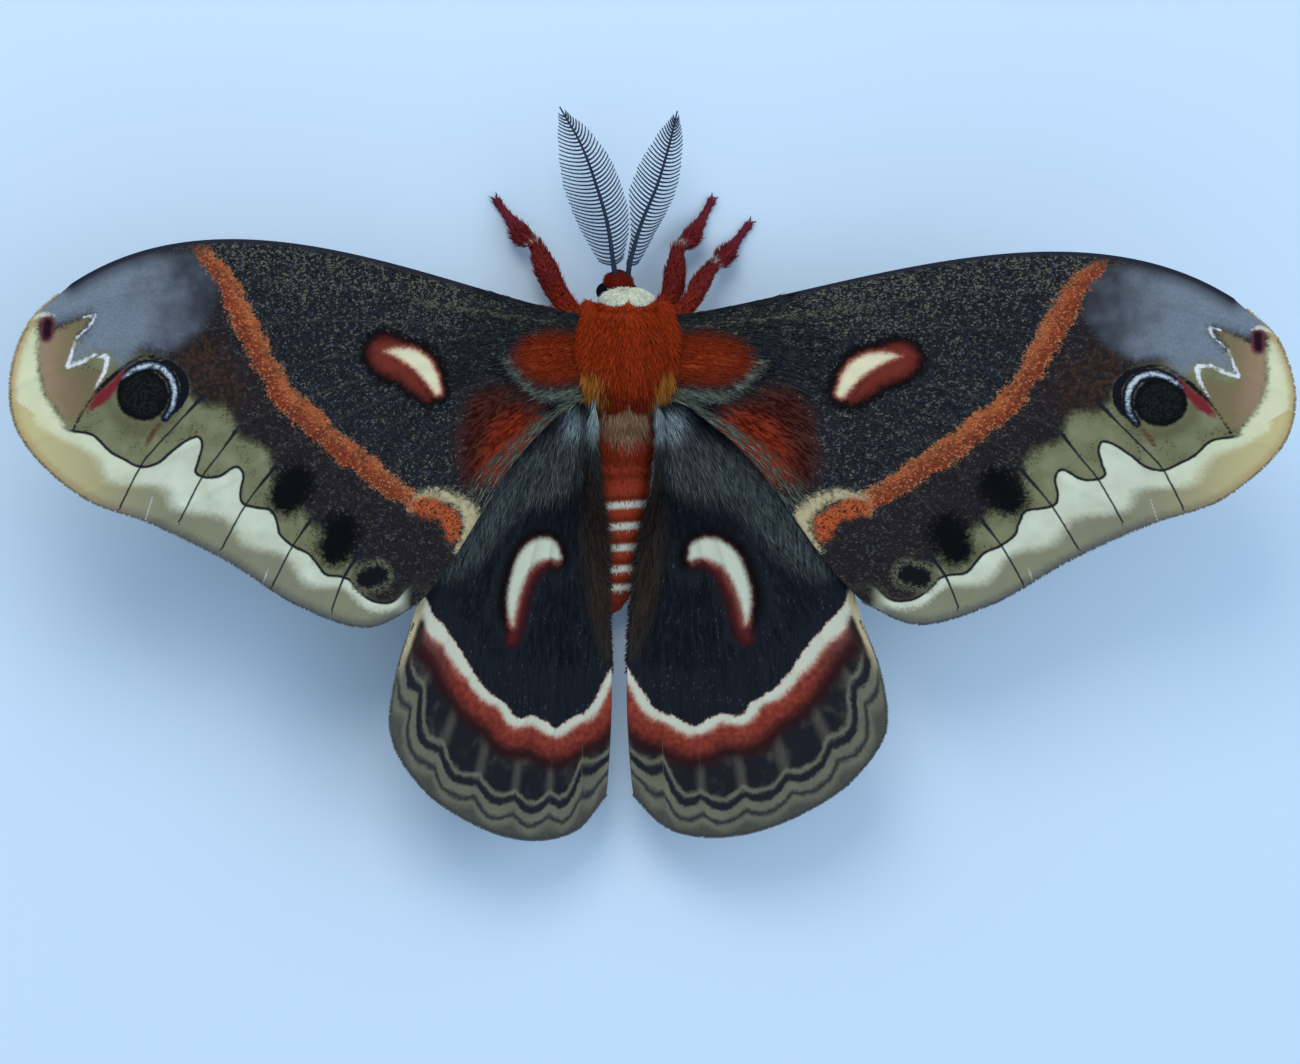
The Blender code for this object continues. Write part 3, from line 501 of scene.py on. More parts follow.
def sheet_faces(columns, stations):
    """Quads of a closed sheet: top grid, bottom grid and the wall round them."""
    index = np.arange(columns * stations).reshape(columns, stations)
    below = index + columns * stations
    top = np.stack([index[:-1, :-1], index[1:, :-1], index[1:, 1:], index[:-1, 1:]], axis=-1).reshape(-1, 4)
    bottom = np.stack([below[:-1, :-1], below[:-1, 1:], below[1:, 1:], below[1:, :-1]], axis=-1)
    bottom = bottom.reshape(-1, 4)
    ring = np.concatenate([index[0, :-1], index[:-1, -1], index[-1, :0:-1], index[:0:-1, 0]])
    following = np.roll(ring, -1)
    low = columns * stations
    wall = np.stack([ring, following, following + low, ring + low], axis=-1)
    return np.concatenate([top, bottom, wall])


# The middle line and half widths of each field that is a ribbon
FOREWING_RIBBONS = {
    "band_core": (BAND, BAND_WIDTHS), "discal": (DISCAL, DISCAL_WIDTHS),
    "discal_red": (DISCAL_RED, DISCAL_RED_WIDTHS), "inner_red": (INNER_RED, INNER_RED_WIDTHS),
    "inner_cream": (INNER_CREAM, INNER_CREAM_WIDTHS), "eye_line": (EYE_LINE, EYE_LINE_WIDTHS),
    "eye_crescent": (EYE_CRESCENT, [0.1, 0.22, 0.3, 0.32, 0.3, 0.28, 0.24, 0.12]),
    "eye_red": (EYE_RED, [0.2, 0.5, 0.6, 0.25]), "eye_tick": (EYE_TICK, [0.2, 0.28, 0.15]),
    "apical_spot": (APICAL_SPOT, [0.62, 0.55]), "apical_cap": (APICAL_CAP, [0.1, 0.2, 0.2, 0.1]),
    "base_arc": (BASE_ARC, [0.5, 0.6, 0.5, 0.45, 0.3]), "black_arc": (BLACK_ARC, [0.8, 0.9, 0.8, 0.6, 0.4]),
    "second_core": (SECOND_CORE, [1.2, 1.6, 1.0]), "olive_streak": (OLIVE_STREAK, [0.7, 0.5, 0.4, 0.2]),
    "ring_spot": (RING_SPOT, [1.0, 0.95]),
}
FOREWING_PATCHES = {
    "cream_tip": CREAM_TIP, "grey": GREY_FIELD, "pink": PINK_FIELD, "brown": BROWN_FIELD,
    "base_patch": BASE_PATCH, "second_patch": SECOND_PATCH,
}
FOREWING_BORDERS = {"band": BAND, "wavy": WAVY_LINE, "lobes": LOBES}


def forewing_fields(plan, edge, costa):
    """Distances to every marking of the forewing, for points of the right wing."""
    fields = {key: ribbon(plan, *drawn) for key, drawn in FOREWING_RIBBONS.items()}
    fields.update({key: patch(plan, outline) for key, outline in FOREWING_PATCHES.items()})
    fields.update({key: across(plan, line) for key, line in FOREWING_BORDERS.items()})
    fields["margin"] = nearest(plan, edge)[0]
    fields["costa"] = nearest(plan, costa)[0]
    fields["reach"] = plan[:, 0] / 10.0
    offset = (plan - np.array(EYESPOT)) / np.array(EYESPOT_RADII)
    fields["eyespot"] = (np.hypot(offset[:, 0], offset[:, 1]) - 1.0) * EYESPOT_RADII[0]
    distance, _, along = nearest(plan, ZIGZAG)
    fields["zigzag"] = distance - curve(ZIGZAG_WIDTHS, along)
    spots = [ribbon(plan, line, [w, w]) for line, w in zip(BLACK_SPOTS, BLACK_SPOT_WIDTHS)]
    fields["black_spots"] = np.minimum(*spots)
    fields["discal_all"] = np.minimum(fields["discal"] - 0.2, fields["discal_red"])
    fields["streak_side"], fields["streak_near"] = thin_lines(plan, VEIN_STREAKS)
    fields["nick_side"], fields["nick_near"] = thin_lines(plan, NICKS)
    return fields


def hindwing_fields(plan, edge, costa):
    """The same for the hindwing, whose margin tapers off at its shoulder."""
    taper = MARGIN_TAPER * smooth_step(plan[:, 1], -20.0, -8.5) * smooth_step(plan[:, 0], 12.0, 18.0)
    return {
        "white_line": across(plan, WHITE_LINE), "margin": nearest(plan, edge)[0] + taper,
        "reach": plan[:, 0] / 10.0, "calm": 1.0 - taper / MARGIN_TAPER,
        "rim": np.minimum(nearest(plan, edge)[0], nearest(plan, costa)[0]),
        "crescent": ribbon(plan, CRESCENT, CRESCENT_WIDTHS),
        "crescent_red": ribbon(plan, CRESCENT_RED, CRESCENT_RED_WIDTHS),
        "slate": patch(plan, SLATE_FIELD), "brown_edge": ribbon(plan, BROWN_EDGE, BROWN_EDGE_WIDTHS),
    }


def build_wing(name, side, wing, grid, read_fields, material):
    """One wing as a closed sheet that carries its markings' distances."""
    middle, vein, arch = wing_surface(wing, *grid)
    points = middle.reshape(-1, 3)
    plan = points[:, :2]
    edge = middle[:, -1, :2]
    costa = middle[0, :, :2]
    fields = read_fields(plan, edge, costa)
    fields["vein"] = vein.ravel()
    fields["arch"] = arch.ravel()
    fields = {key: np.tile(np.clip(values, -FAR, FAR), 2) for key, values in fields.items()}
    rim = np.minimum(nearest(plan, edge)[0], nearest(plan, costa)[0])
    half = WING_HALF_THICKNESS * (0.3 + 0.7 * smooth_step(rim, 0.0, 0.9))
    lift = half[:, None] * UP
    faces = sheet_faces(*grid)
    if side > 0:
        faces = faces[:, ::-1]
    made = make_mesh(name, mirrored(np.concatenate([points + lift, points - lift]), side), faces, material,
                     fields)
    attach(made, "root")
    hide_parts(name.replace("_scales", ""))


def speckles(p):
    """High where pale scales gather, less so away from the leading edge."""
    speckle = p.ramp(p.field("costa", 0.0), -0.025, p.calc("ADD", p.times(p.wide, 0.35), p.red))
    return p.ramp(p.clump, 0.8, speckle)


def beyond_base(p):
    """1 on the part of the forewing that its outer border reaches."""
    return p.above("reach", 0.0, 2.62, 0.12)


def forewing_ground(p):
    """Near-black brown scales with pale speckles and veins, and the olive lobes of the outer ground."""
    p.colour = p.blend((15, 16, 20), (38, 39, 46), p.blue)
    p.lay(p.blend((72, 72, 60), (100, 100, 80), p.green), p.over(speckles(p), 1.3, 0.08))
    p.lay((64, 72, 82), p.times(p.over(p.green, 0.88, 0.04), p.over(p.clump, 0.5, 0.1)))
    p.lay((34, 26, 26), p.times(p.above("band", 0.5, 0.0, 0.8), 0.45))
    vein = p.times(p.below("vein", 0.0, 0.12, 0.1), p.below("lobes", 0.0, 0.0, 0.5))
    p.lay((70, 70, 66), p.times(vein, 0.25))
    brown = p.blend((34, 28, 28), (62, 42, 33), p.over(p.clump, 0.52, 0.12))
    p.lay(brown, p.times(p.below("brown", 2.0, 0.5, 1.4), p.over(p.red, 0.25, 0.2)))
    olive = p.blend((92, 90, 62), (126, 129, 102), p.ramp(p.wide, 1.3, -0.15))
    olive = p.blend(olive, (72, 72, 56), p.times(p.over(p.green, 0.86, 0.06), p.under(p.wide, 0.46, 0.1)))
    p.lay(olive, p.times(p.above("lobes", 0.9, 0.1, 0.45), beyond_base(p)))
    p.lay((48, 46, 38), p.times(p.between(p.field("lobes", 1.4), -0.3, 0.5, 0.4), 0.6))
    p.lay((84, 82, 60), p.times(p.between(p.field("eyespot", 0.5), 0.0, 1.6, 0.8), 0.7))


def forewing_eyespot(p):
    p.mark((16, 17, 26), "eye_line", 0.3, 0.0, 0.08)
    p.mark((16, 17, 26), "eye_crescent", 0.3, 0.36, 0.14)
    p.mark((108, 34, 42), "eye_red", 0.4, 0.0, 0.25)
    p.mark((84, 54, 46), "eye_tick", 0.3, 0.0, 0.2)
    pupil = p.times(p.over(p.green, 0.5, 0.4), p.below("eyespot", 1.0, -0.6, 0.5))
    p.mark(p.blend((8, 9, 12), (26, 29, 28), pupil), "eyespot", 0.4, 0.0, 0.2)
    p.mark((76, 90, 112), "eye_crescent", 0.3, 0.02, 0.12)
    p.mark((176, 186, 190), "eye_crescent", 0.4, -0.12, 0.12)


def forewing_border(p):
    """The cream outer border, the tan margin, the wavy line and the streaks along the veins."""
    outer = beyond_base(p)
    cream = p.blend((200, 208, 192), (168, 174, 150), p.ramp(p.wide, 1.4, -0.25))
    tip = p.above("reach", 0.0, 6.0, 0.9)
    cream = p.blend(cream, (208, 208, 164), p.times(tip, 0.6))
    p.lay(cream, p.times(p.above("wavy", 0.15, 0.0, 0.06), outer))
    p.mark(cream, "cream_tip", 1.0, 0.0, 0.5)
    tan = p.blend(p.blend((94, 94, 78), (126, 122, 96), p.wide), (182, 170, 122), tip)
    notch = p.calc("POWER", p.calc("MAXIMUM", p.field("arch", 0.0), 0.0), 2.0)
    arched = p.ramp(notch, -1.3, p.ramp(tip, -0.9, p.field("margin", 0.7)))
    beneath = p.times(p.under(arched, 2.4, 0.85), p.above("wavy", 1.0, 0.9, 0.5), outer)
    p.lay(tan, p.times(beneath, 0.9))
    rim = p.times(p.below("margin", 0.6, 0.55, 0.6), outer)
    p.lay(p.blend((84, 86, 84), (168, 146, 104), tip), rim)
    drawn = p.times(p.below("reach", 0.0, 6.3, 0.1), outer)
    wavy = p.under(p.calc("ABSOLUTE", p.field("wavy", 0.12)), 0.15, 0.1)
    p.lay((26, 28, 36), p.times(wavy, drawn))
    aside = p.calc("ABSOLUTE", p.field("streak_side", 0.1))
    aside = p.ramp(p.below("lobes", 1.0, 1.3, 1.5), -0.12, aside)
    streak = p.times(p.under(aside, 0.1, 0.09), p.below("streak_near", 0.0, 0.6, 0.2),
                     p.above("lobes", 1.0, -1.5, 0.5))
    p.lay((28, 30, 38), streak)
    nick = p.under(p.calc("ABSOLUTE", p.field("nick_side", 0.1)), 0.08, 0.06)
    p.lay((166, 172, 166), p.times(nick, p.below("nick_near", 0.0, 0.2, 0.2)))


def forewing_apex(p):
    """The grey and pink fields near the tip, the zigzag line and the apical spot."""
    reach = p.field("reach", 0.0)
    light = p.times(p.over(p.ramp(p.wide, 1.0, reach), 5.75, 0.62), p.above("costa", 0.0, 1.0, 1.1))
    grey = p.blend((46, 47, 54), (110, 121, 135), light)
    p.mark(p.blend(grey, (58, 62, 72), p.times(p.over(p.red, 0.6, 0.3), 0.22)), "grey", 1.0, -0.25, 0.8)
    pink = p.blend((106, 92, 72), (144, 120, 98), p.over(reach, 6.3, 0.25))
    pink = p.blend(pink, (112, 104, 74), p.times(p.over(p.wide, 0.45, 0.3), p.under(reach, 6.4, 0.3)))
    p.mark(pink, "pink", 1.0, 0.1, 0.3)
    p.mark((210, 216, 222), "zigzag", 0.25, 0.0, 0.12)
    p.mark((92, 50, 60), "apical_spot", 0.3, 0.15, 0.25)
    p.mark((34, 16, 26), "apical_spot", 0.3, -0.15, 0.2)
    p.mark((182, 182, 166), "apical_cap", 0.3, 0.0, 0.12)


def forewing_band(p):
    """The lobes' black spots, the red band with its ragged edges, and its inner end."""
    p.mark((8, 8, 12), "black_spots", 1.6, 0.1, 0.9)
    ring = p.times(p.between(p.field("ring_spot", 0.9), 0.0, 0.8, 0.3), p.over(p.red, 0.4, 0.25))
    p.lay((84, 85, 68), ring)
    p.mark((16, 17, 21), "ring_spot", 0.9, 0.0, 0.3)
    band = p.ramp(p.noise(1.7), 1.6, p.calc("SUBTRACT", p.field("band_core", 1.2), 0.7))
    low = p.above("costa", 0.0, 1.2, 0.9)
    ragged = p.times(p.under(band, 0.24, 0.16), p.over(p.blue, 0.5, 0.1), low)
    p.lay(p.blend((164, 116, 84), (112, 68, 46), p.green), ragged)
    scarlet = p.blend((152, 74, 42), (112, 48, 30), p.green)
    aside = p.field("band", 0.5)
    scarlet = p.blend(scarlet, (178, 104, 62), p.times(p.under(aside, -0.15, 0.5), 0.45))
    scarlet = p.blend(scarlet, (104, 36, 26), p.times(p.over(aside, 0.2, 0.6), 0.6))
    scarlet = p.blend(scarlet, (96, 50, 36), p.times(p.over(p.wide, 0.5, 0.2), p.over(p.clump, 0.45, 0.2)))
    scarlet = p.blend(scarlet, (168, 102, 66), p.over(p.blue, 0.84, 0.08))
    scarlet = p.blend(scarlet, (58, 26, 20), p.times(p.over(p.red, 0.8, 0.08), 0.5))
    p.lay(scarlet, p.times(p.under(band, 0.0, 0.2), p.ramp(low, 0.8, 0.2)))
    p.mark(p.blend((190, 180, 146), (136, 124, 92), p.clump), "inner_cream", 1.8, -0.05, 0.55)
    p.mark(p.blend((178, 88, 46), (130, 60, 36), p.green), "inner_red", 1.8, 0.05, 0.5)
    p.lay((40, 30, 28), p.times(p.below("inner_red", 1.0, 0.0, 0.4), p.over(p.red, 0.82, 0.05)))


def forewing_discal(p):
    p.mark((7, 7, 10), "discal_all", 0.9, 0.9, 0.6)
    p.mark((52, 20, 20), "discal_all", 0.8, 0.0, 0.65)
    p.mark((106, 42, 33), "discal_red", 0.8, -0.4, 0.8)
    p.mark((150, 84, 66), "discal", 0.5, 0.05, 0.4)
    p.mark((210, 204, 174), "discal", 0.4, -0.25, 0.35)


def forewing_base(p):
    """The black arc, the two red patches, the grey arc and the dark leading edge."""
    p.mark((7, 8, 12), "black_arc", 1.2, 0.0, 0.5)
    p.lay((66, 32, 26), p.times(p.below("second_patch", 2.2, 0.0, 1.3), 0.9))
    p.mark((122, 42, 22), "second_core", 1.4, 0.6, 1.5)
    p.mark((84, 30, 22), "base_patch", 1.6, 0.3, 0.9)
    p.mark((134, 50, 22), "base_patch", 1.6, -1.2, 0.9)
    p.mark(p.blend((104, 112, 104), (60, 66, 64), p.clump), "base_arc", 1.6, 0.0, 0.4)
    olive_streak = p.below("olive_streak", 1.4, 0.0, 0.5)
    p.lay((92, 88, 66), p.times(olive_streak, p.over(speckles(p), 1.0, 0.2)))
    p.mark((38, 40, 52), "costa", 0.0, 0.45, 0.25)


def forewing_paint():
    """The forewing's ground with every marking, the later ones over the earlier."""
    p = Paint("forewing_scales", 0.8, 0.05)
    p.set_grain((0.2, 0.14, 0.2), 2.6, 0.55, (0.9, 0.3, -0.6))
    for paint_region in (forewing_ground, forewing_eyespot, forewing_border, forewing_apex, forewing_band,
                         forewing_discal, forewing_base):
        paint_region(p)
    return p.finish(p.relief, 0.35, 0.03)


def hindwing_crescent(p):
    p.mark((7, 7, 10), "crescent", 0.6, 1.0, 0.7)
    p.mark((46, 16, 18), "crescent_red", 0.7, 0.15, 0.6)
    p.mark((82, 31, 32), "crescent_red", 0.6, -0.45, 0.6)
    p.mark((50, 20, 21), "crescent", 0.5, 0.2, 0.25)
    p.lay((140, 84, 72), p.times(p.below("crescent", 0.4, 0.2, 0.45), p.below("crescent_red", 1.0, 0.1, 0.6)))
    p.mark((184, 190, 174), "crescent", 0.35, -0.24, 0.4)


def hindwing_bands(p, line, hair):
    """The dusky ground outside the scalloped line, the red band and the white line."""
    arch = p.field("arch", 0.0)
    reach = p.field("reach", 0.0)
    blotch = p.times(p.over(arch, 0.32, 0.3), p.over(p.wide, 0.34, 0.18))
    p.lay(p.blend(p.blend((80, 76, 70), (56, 53, 51), hair), (27, 28, 34), blotch), p.over(line, 0.6, 0.4))
    corner = p.over(reach, 2.12, 0.2)
    maroon = p.blend((136, 60, 46), (104, 38, 32), p.over(p.clump, 0.5, 0.3))
    maroon = p.blend(maroon, (60, 24, 24), p.ramp(line, 0.4, -0.75))
    maroon = p.blend(maroon, (52, 30, 32), p.times(corner, 0.75))
    p.lay((40, 19, 22), p.between(line, 0.7, 4.5, 0.7))
    p.lay(maroon, p.between(line, 0.7, 3.3, 0.7))
    broad = p.times(p.over(reach, 1.95, 0.35), 0.7)
    pale = p.ramp(p.calc("MAXIMUM", arch, 0.0), -0.25, p.calc("SUBTRACT", line, broad))
    p.lay((112, 74, 68), p.times(p.over(line, 0.3, 0.4), p.under(pale, 1.5, 0.9), corner))
    p.lay((160, 112, 98), p.times(p.over(line, 0.0, 0.2), p.under(pale, 1.05, 0.4)))
    p.lay((186, 190, 174), p.times(p.over(line, 0.05, 0.16), p.under(pale, 0.75, 0.35)))


def hindwing_margin(p, line):
    """The striped margin, calmer at the wing's shoulder, and the pale veins across it."""
    margin = p.ramp(p.field("arch", 0.0), p.field("calm", 0.0), p.field("margin", 0.5))
    margin = p.ramp(p.noise(1.9), 0.6, p.calc("SUBTRACT", margin, 0.5))
    outside = p.over(line, 3.2, 0.6)
    olive = p.blend((84, 83, 73), (112, 112, 96), p.wide)
    p.lay(olive, p.times(p.between(margin, 4.35, 4.85, 0.3), outside))
    p.lay((28, 31, 39), p.times(p.between(margin, 3.55, 4.3, 0.35), outside))
    p.lay(olive, p.times(p.under(margin, 3.5, 0.2), p.over(line, 1.5, 0.6)))
    p.lay((44, 46, 50), p.times(p.between(margin, 1.95, 2.5, 0.3), p.over(line, 2.0, 0.6)))
    p.lay((70, 71, 67), p.times(p.under(margin, 1.3, 0.6), p.over(line, 1.5, 0.6)))
    shoulder = p.below("calm", 0.0, 0.45, 0.35)
    p.lay((44, 34, 34), p.times(p.below("rim", 0.4, 1.5, 0.5), p.between(line, 1.2, 6.0, 0.6), shoulder))
    p.lay((172, 162, 130), p.times(p.below("rim", 0.2, 0.6, 0.25), p.over(line, -0.2, 0.4), shoulder))
    vein = p.below("vein", 0.0, 0.06, 0.05)
    p.lay((96, 92, 78), p.times(vein, p.times(outside, 0.7)))


def hindwing_paint():
    """Blue-black scales with the crescent, the white and red bands and the striped margin."""
    p = Paint("hindwing_scales", 0.8, 0.05)
    p.set_grain((0.16, 0.26, 0.2), 2.4, 0.6, (0.8, 0.26, -0.53))
    hair = p.noise(0.22, 2.6, 0.6)
    p.colour = p.blend((10, 12, 18), (30, 36, 44), hair)
    p.lay((76, 86, 88), p.times(p.below("slate", 1.0, 0.3, 1.6), p.over(hair, 0.5, 0.25)))
    p.lay((46, 54, 60), p.times(p.over(p.green, 0.95, 0.02), p.over(p.wide, 0.5, 0.1)))
    p.mark((42, 36, 32), "brown_edge", 1.0, 0.2, 0.8)
    hindwing_crescent(p)
    line = p.ramp(p.noise(1.1), 0.4, p.calc("SUBTRACT", p.field("white_line", 0.5), 0.2))
    hindwing_bands(p, line, hair)
    hindwing_margin(p, line)
    return p.finish(p.relief, 0.35, 0.03)


forewing_scales = forewing_paint()
hindwing_scales = hindwing_paint()
for word, side, shift in SIDES:
    hindwing = (HINDWING_VEINS, HINDWING_LEVEL, HINDWING_RISE, shift)
    build_wing("forewing_" + word + "_scales", side, FOREWING, FOREWING_GRID, forewing_fields,
               forewing_scales)
    build_wing("hindwing_" + word + "_scales", side, hindwing, HINDWING_GRID, hindwing_fields,
               hindwing_scales)


# The body's sizes: thorax, head, collar and legs are as in the part's source

THORAX_CENTRE = np.array([0.0, 19.0, 8.1])
THORAX_RADII = np.array([5.7, 6.4, 5.7])
THORAX_SHOULDER = 0.07
HEAD_CENTRE = np.array([-0.25, 26.75, 7.5])
HEAD_RADII = np.array([1.85, 1.85, 2.15])
EYE_OFFSET = np.array([1.65, -0.3, -0.4])
EYE_SINK = np.array([-0.3, -0.6, -0.15])          # how much deeper the eye lies in its fur
EYE_RADIUS = 0.97              # a little less than the solid's
COLLAR_CENTRE = np.array([0.0, 24.3, 10.0])
COLLAR_RADII = np.array([3.6, 2.3, 2.7])
PALP_CENTRE = np.array([0.6, 27.1, 5.6])
PALP_RADII = np.array([0.45, 0.8, 0.5])
SHOULDER_CENTRE = np.array([4.1, 20.3, 9.7])      # the flap of fur over each forewing's root
SHOULDER_RADII = np.array([1.7, 4.5, 1.6])
NAPE_CENTRE = np.array([0.0, 22.3, 9.3])
NAPE_RADII = np.array([3.9, 2.6, 3.0])
COAT = {"thorax": 0.7, "head": 0.4, "collar": 0.5, "abdomen": 0.5, "leg": 0.24}
LEGS = [
    ("leg_front_left", -1, [
        (2.9, 21.6, 4.6, 1.2), (5.6, 25.3, 3.3, 1.3), (7.4, 28.5, 3.8, 1.4), (8.5, 31.0, 3.4, 0.9),
        (9.6, 31.9, 2.7, 1.15), (10.4, 33.3, 1.7, 0.85), (11.2, 34.7, 0.6, 0.58), (12.1, 36.0, 0.3, 0.6)]),
    ("leg_front_right", 1, [
        (2.9, 21.6, 4.6, 1.2), (6.5, 25.2, 3.4, 1.3), (7.1, 28.2, 3.8, 1.3), (7.6, 30.8, 3.4, 0.85),
        (9.1, 31.9, 2.6, 1.1), (10.4, 33.5, 1.7, 0.8), (11.5, 35.0, 0.6, 0.55), (12.3, 36.4, 0.3, 0.6)]),
    ("leg_mid_left", -1, [
        (3.4, 19.2, 6.0, 1.0), (6.5, 22.6, 6.3, 1.1), (8.4, 23.4, 5.3, 1.1), (10.2, 23.7, 4.1, 0.85),
        (11.6, 24.2, 2.8, 1.0), (12.6, 24.7, 1.7, 0.8), (13.4, 25.2, 0.6, 0.56), (14.5, 25.7, 0.3, 0.58)]),
    ("leg_mid_right", 1, [
        (3.6, 19.8, 6.0, 1.0), (8.0, 24.8, 6.3, 1.15), (9.6, 27.1, 5.5, 1.2), (11.3, 28.9, 3.9, 0.85),
        (12.9, 30.0, 2.8, 1.1), (14.2, 31.2, 1.7, 0.8), (15.4, 32.4, 0.6, 0.56), (16.6, 33.9, 0.3, 0.58)]),
    ("leg_hind_left", -1, [
        (3.1, 16.6, 4.6, 1.1), (6.3, 12.6, 4.6, 1.15), (8.8, 8.4, 4.2, 1.15), (9.4, 6.8, 3.5, 0.85),
        (9.8, 5.2, 2.5, 1.05), (10.1, 3.7, 1.5, 0.8), (10.3, 2.4, 0.6, 0.56), (10.7, 0.4, 0.3, 0.58)]),
    ("leg_hind_right", 1, [
        (3.1, 16.6, 4.6, 1.1), (6.3, 12.4, 4.6, 1.15), (9.0, 8.6, 4.2, 1.15), (9.9, 7.0, 3.5, 0.85),
        (10.5, 5.4, 2.5, 1.05), (11.0, 3.8, 1.5, 0.8), (11.4, 2.4, 0.6, 0.56), (12.1, 0.4, 0.3, 0.58)]),
]
LEG_STEPS = 60
KNEE = 0.44                    # where a pale line crosses a leg, from hip to claws
TARSUS_START = 0.62
TARSUS_JOINTS = 5
SKIN_VOXEL = 0.15
SKIN_SHADE = 0.7               # the skin's colour against its coat's
ABDOMEN_SEGMENTS = 7
WHITE_RINGS = (5.2, 2.9, 0.6, -1.7, -4.0, -6.0)
WHITE_RING_WIDTH = 0.38


def coat_colour(red, green, blue):
    return np.array(linear(red, green, blue)[:3])


RUST = coat_colour(168, 58, 22)
DARK_RUST = coat_colour(122, 34, 18)
AMBER = coat_colour(178, 112, 48)
BEIGE = coat_colour(160, 124, 96)
CREAM = coat_colour(248, 251, 232)
ABDOMEN_RED = coat_colour(152, 58, 36)
WHITE = coat_colour(222, 226, 212)
MAROON = coat_colour(128, 42, 42)
PURPLE = coat_colour(120, 42, 58)
PALE_BLUE = coat_colour(168, 186, 192)
SLATE = coat_colour(77, 82, 83)
NAVY = coat_colour(24, 29, 40)
UMBER = coat_colour(58, 51, 48)
SAGE = coat_colour(108, 118, 108)
TAN_EDGE = coat_colour(186, 168, 124)
GREY_EDGE = coat_colour(96, 98, 94)


def unit(vectors):
    return vectors / np.maximum(np.linalg.norm(vectors, axis=-1, keepdims=True), 1e-9)


class Heap:
    """Points and faces gathered into one mesh."""

    def __init__(self):
        self.points = []
        self.faces = []
        self.count = 0

    def add(self, points, faces):
        self.points.append(points)
        self.faces.extend([[index + self.count for index in face] for face in faces])
        self.count += len(points)


def ring_faces(rings, sides):
    """The faces of a closed stack of rings."""
    faces = []
    for i in range(rings - 1):
        for k in range(sides):
            a = i * sides + k
            b = i * sides + (k + 1) % sides
            faces.append([a, b, b + sides, a + sides])
    faces.append(list(range(sides))[::-1])
    faces.append([(rings - 1) * sides + k for k in range(sides)])
    return faces


def tube(path, radii, sides):
    """A closed tube along a path, as points and faces."""
    path = np.asarray(path, float)
    forward = unit(np.gradient(path, axis=0))
    up = UP if abs(forward[0, 2]) < 0.9 else np.array([0.0, 1.0, 0.0])
    side = unit(np.cross(forward, up))
    top = np.cross(side, forward)
    angles = 2.0 * math.pi * (np.arange(sides) + 0.5) / sides
    ring = (side[:, None] * np.cos(angles)[None, :, None]
            + top[:, None] * np.sin(angles)[None, :, None])
    points = path[:, None] + ring * np.asarray(radii, float)[:, None, None]
    return points.reshape(-1, 3), ring_faces(len(path), sides)


def ball(centre, radii, sides=40, rings=24, shoulder=0.0):
    """A closed ellipsoid with its poles along Y."""
    angles = math.pi * (np.arange(rings) + 0.5) / rings
    around = 2.0 * math.pi * np.arange(sides) / sides
    y = np.cos(angles)[:, None] * np.ones(sides)
    z = np.sin(angles)[:, None] * np.sin(around)
    x = np.sin(angles)[:, None] * np.cos(around) * (1.0 + shoulder * z)
    points = np.stack([x, y, z], axis=-1).reshape(-1, 3) * radii + centre
    return points, ring_faces(rings, sides)


def leg_path(side, stations, coat):
    """Centres and radii along a leg's skin, with the rings of its tarsus."""
    t = np.linspace(0.0, 1.0, LEG_STEPS)
    rows = curve(np.array(stations) * np.array([side, 1.0, 1.0, 1.0]), t)
    tarsus = smooth_step(t, TARSUS_START, TARSUS_START + 0.1)
    joints = np.cos(2.0 * math.pi * TARSUS_JOINTS * (t - TARSUS_START) / (1.0 - TARSUS_START))
    radii = (rows[:, 3] - coat * (1.0 - 0.6 * tarsus)) * (1.0 - 0.2 * tarsus * (0.5 + 0.5 * joints))
    centres = rows[:, :3].copy()
    centres[:, 2] = np.maximum(centres[:, 2], radii + 0.02)
    return centres, radii


def abdomen_path():
    t = np.linspace(0.0, 1.0, 90)
    rows = curve(np.array(ABDOMEN), t)
    groove = 0.14 * np.maximum(np.cos(2.0 * math.pi * ABDOMEN_SEGMENTS * t), 0.0) ** 3
    centres = np.stack([np.zeros_like(t), rows[:, 0], rows[:, 1]], axis=1)
    return centres, np.maximum(rows[:, 2] - COAT["abdomen"] - groove, 0.4)


def voxel_skin(heap):
    """The outer surface of the heap's solids, smoothed: points and triangles."""
    mesh = bpy.data.meshes.new("skin_draft")
    mesh.from_pydata(np.concatenate(heap.points).tolist(), [], heap.faces)
    draft = bpy.data.objects.new("skin_draft", mesh)
    bpy.context.scene.collection.objects.link(draft)
    remesh = draft.modifiers.new("remesh", "REMESH")
    remesh.mode = "VOXEL"
    remesh.voxel_size = SKIN_VOXEL
    smooth = draft.modifiers.new("smooth", "SMOOTH")
    smooth.factor = 0.5
    smooth.iterations = 3
    result = draft.evaluated_get(bpy.context.evaluated_depsgraph_get()).to_mesh()
    points = np.empty(len(result.vertices) * 3)
    result.vertices.foreach_get("co", points)
    result.calc_loop_triangles()
    triangles = np.empty(len(result.loop_triangles) * 3, np.int32)
    result.loop_triangles.foreach_get("vertices", triangles)
    bpy.data.objects.remove(draft, do_unlink=True)
    bpy.data.meshes.remove(mesh)
    return points.reshape(-1, 3), triangles.reshape(-1, 3)


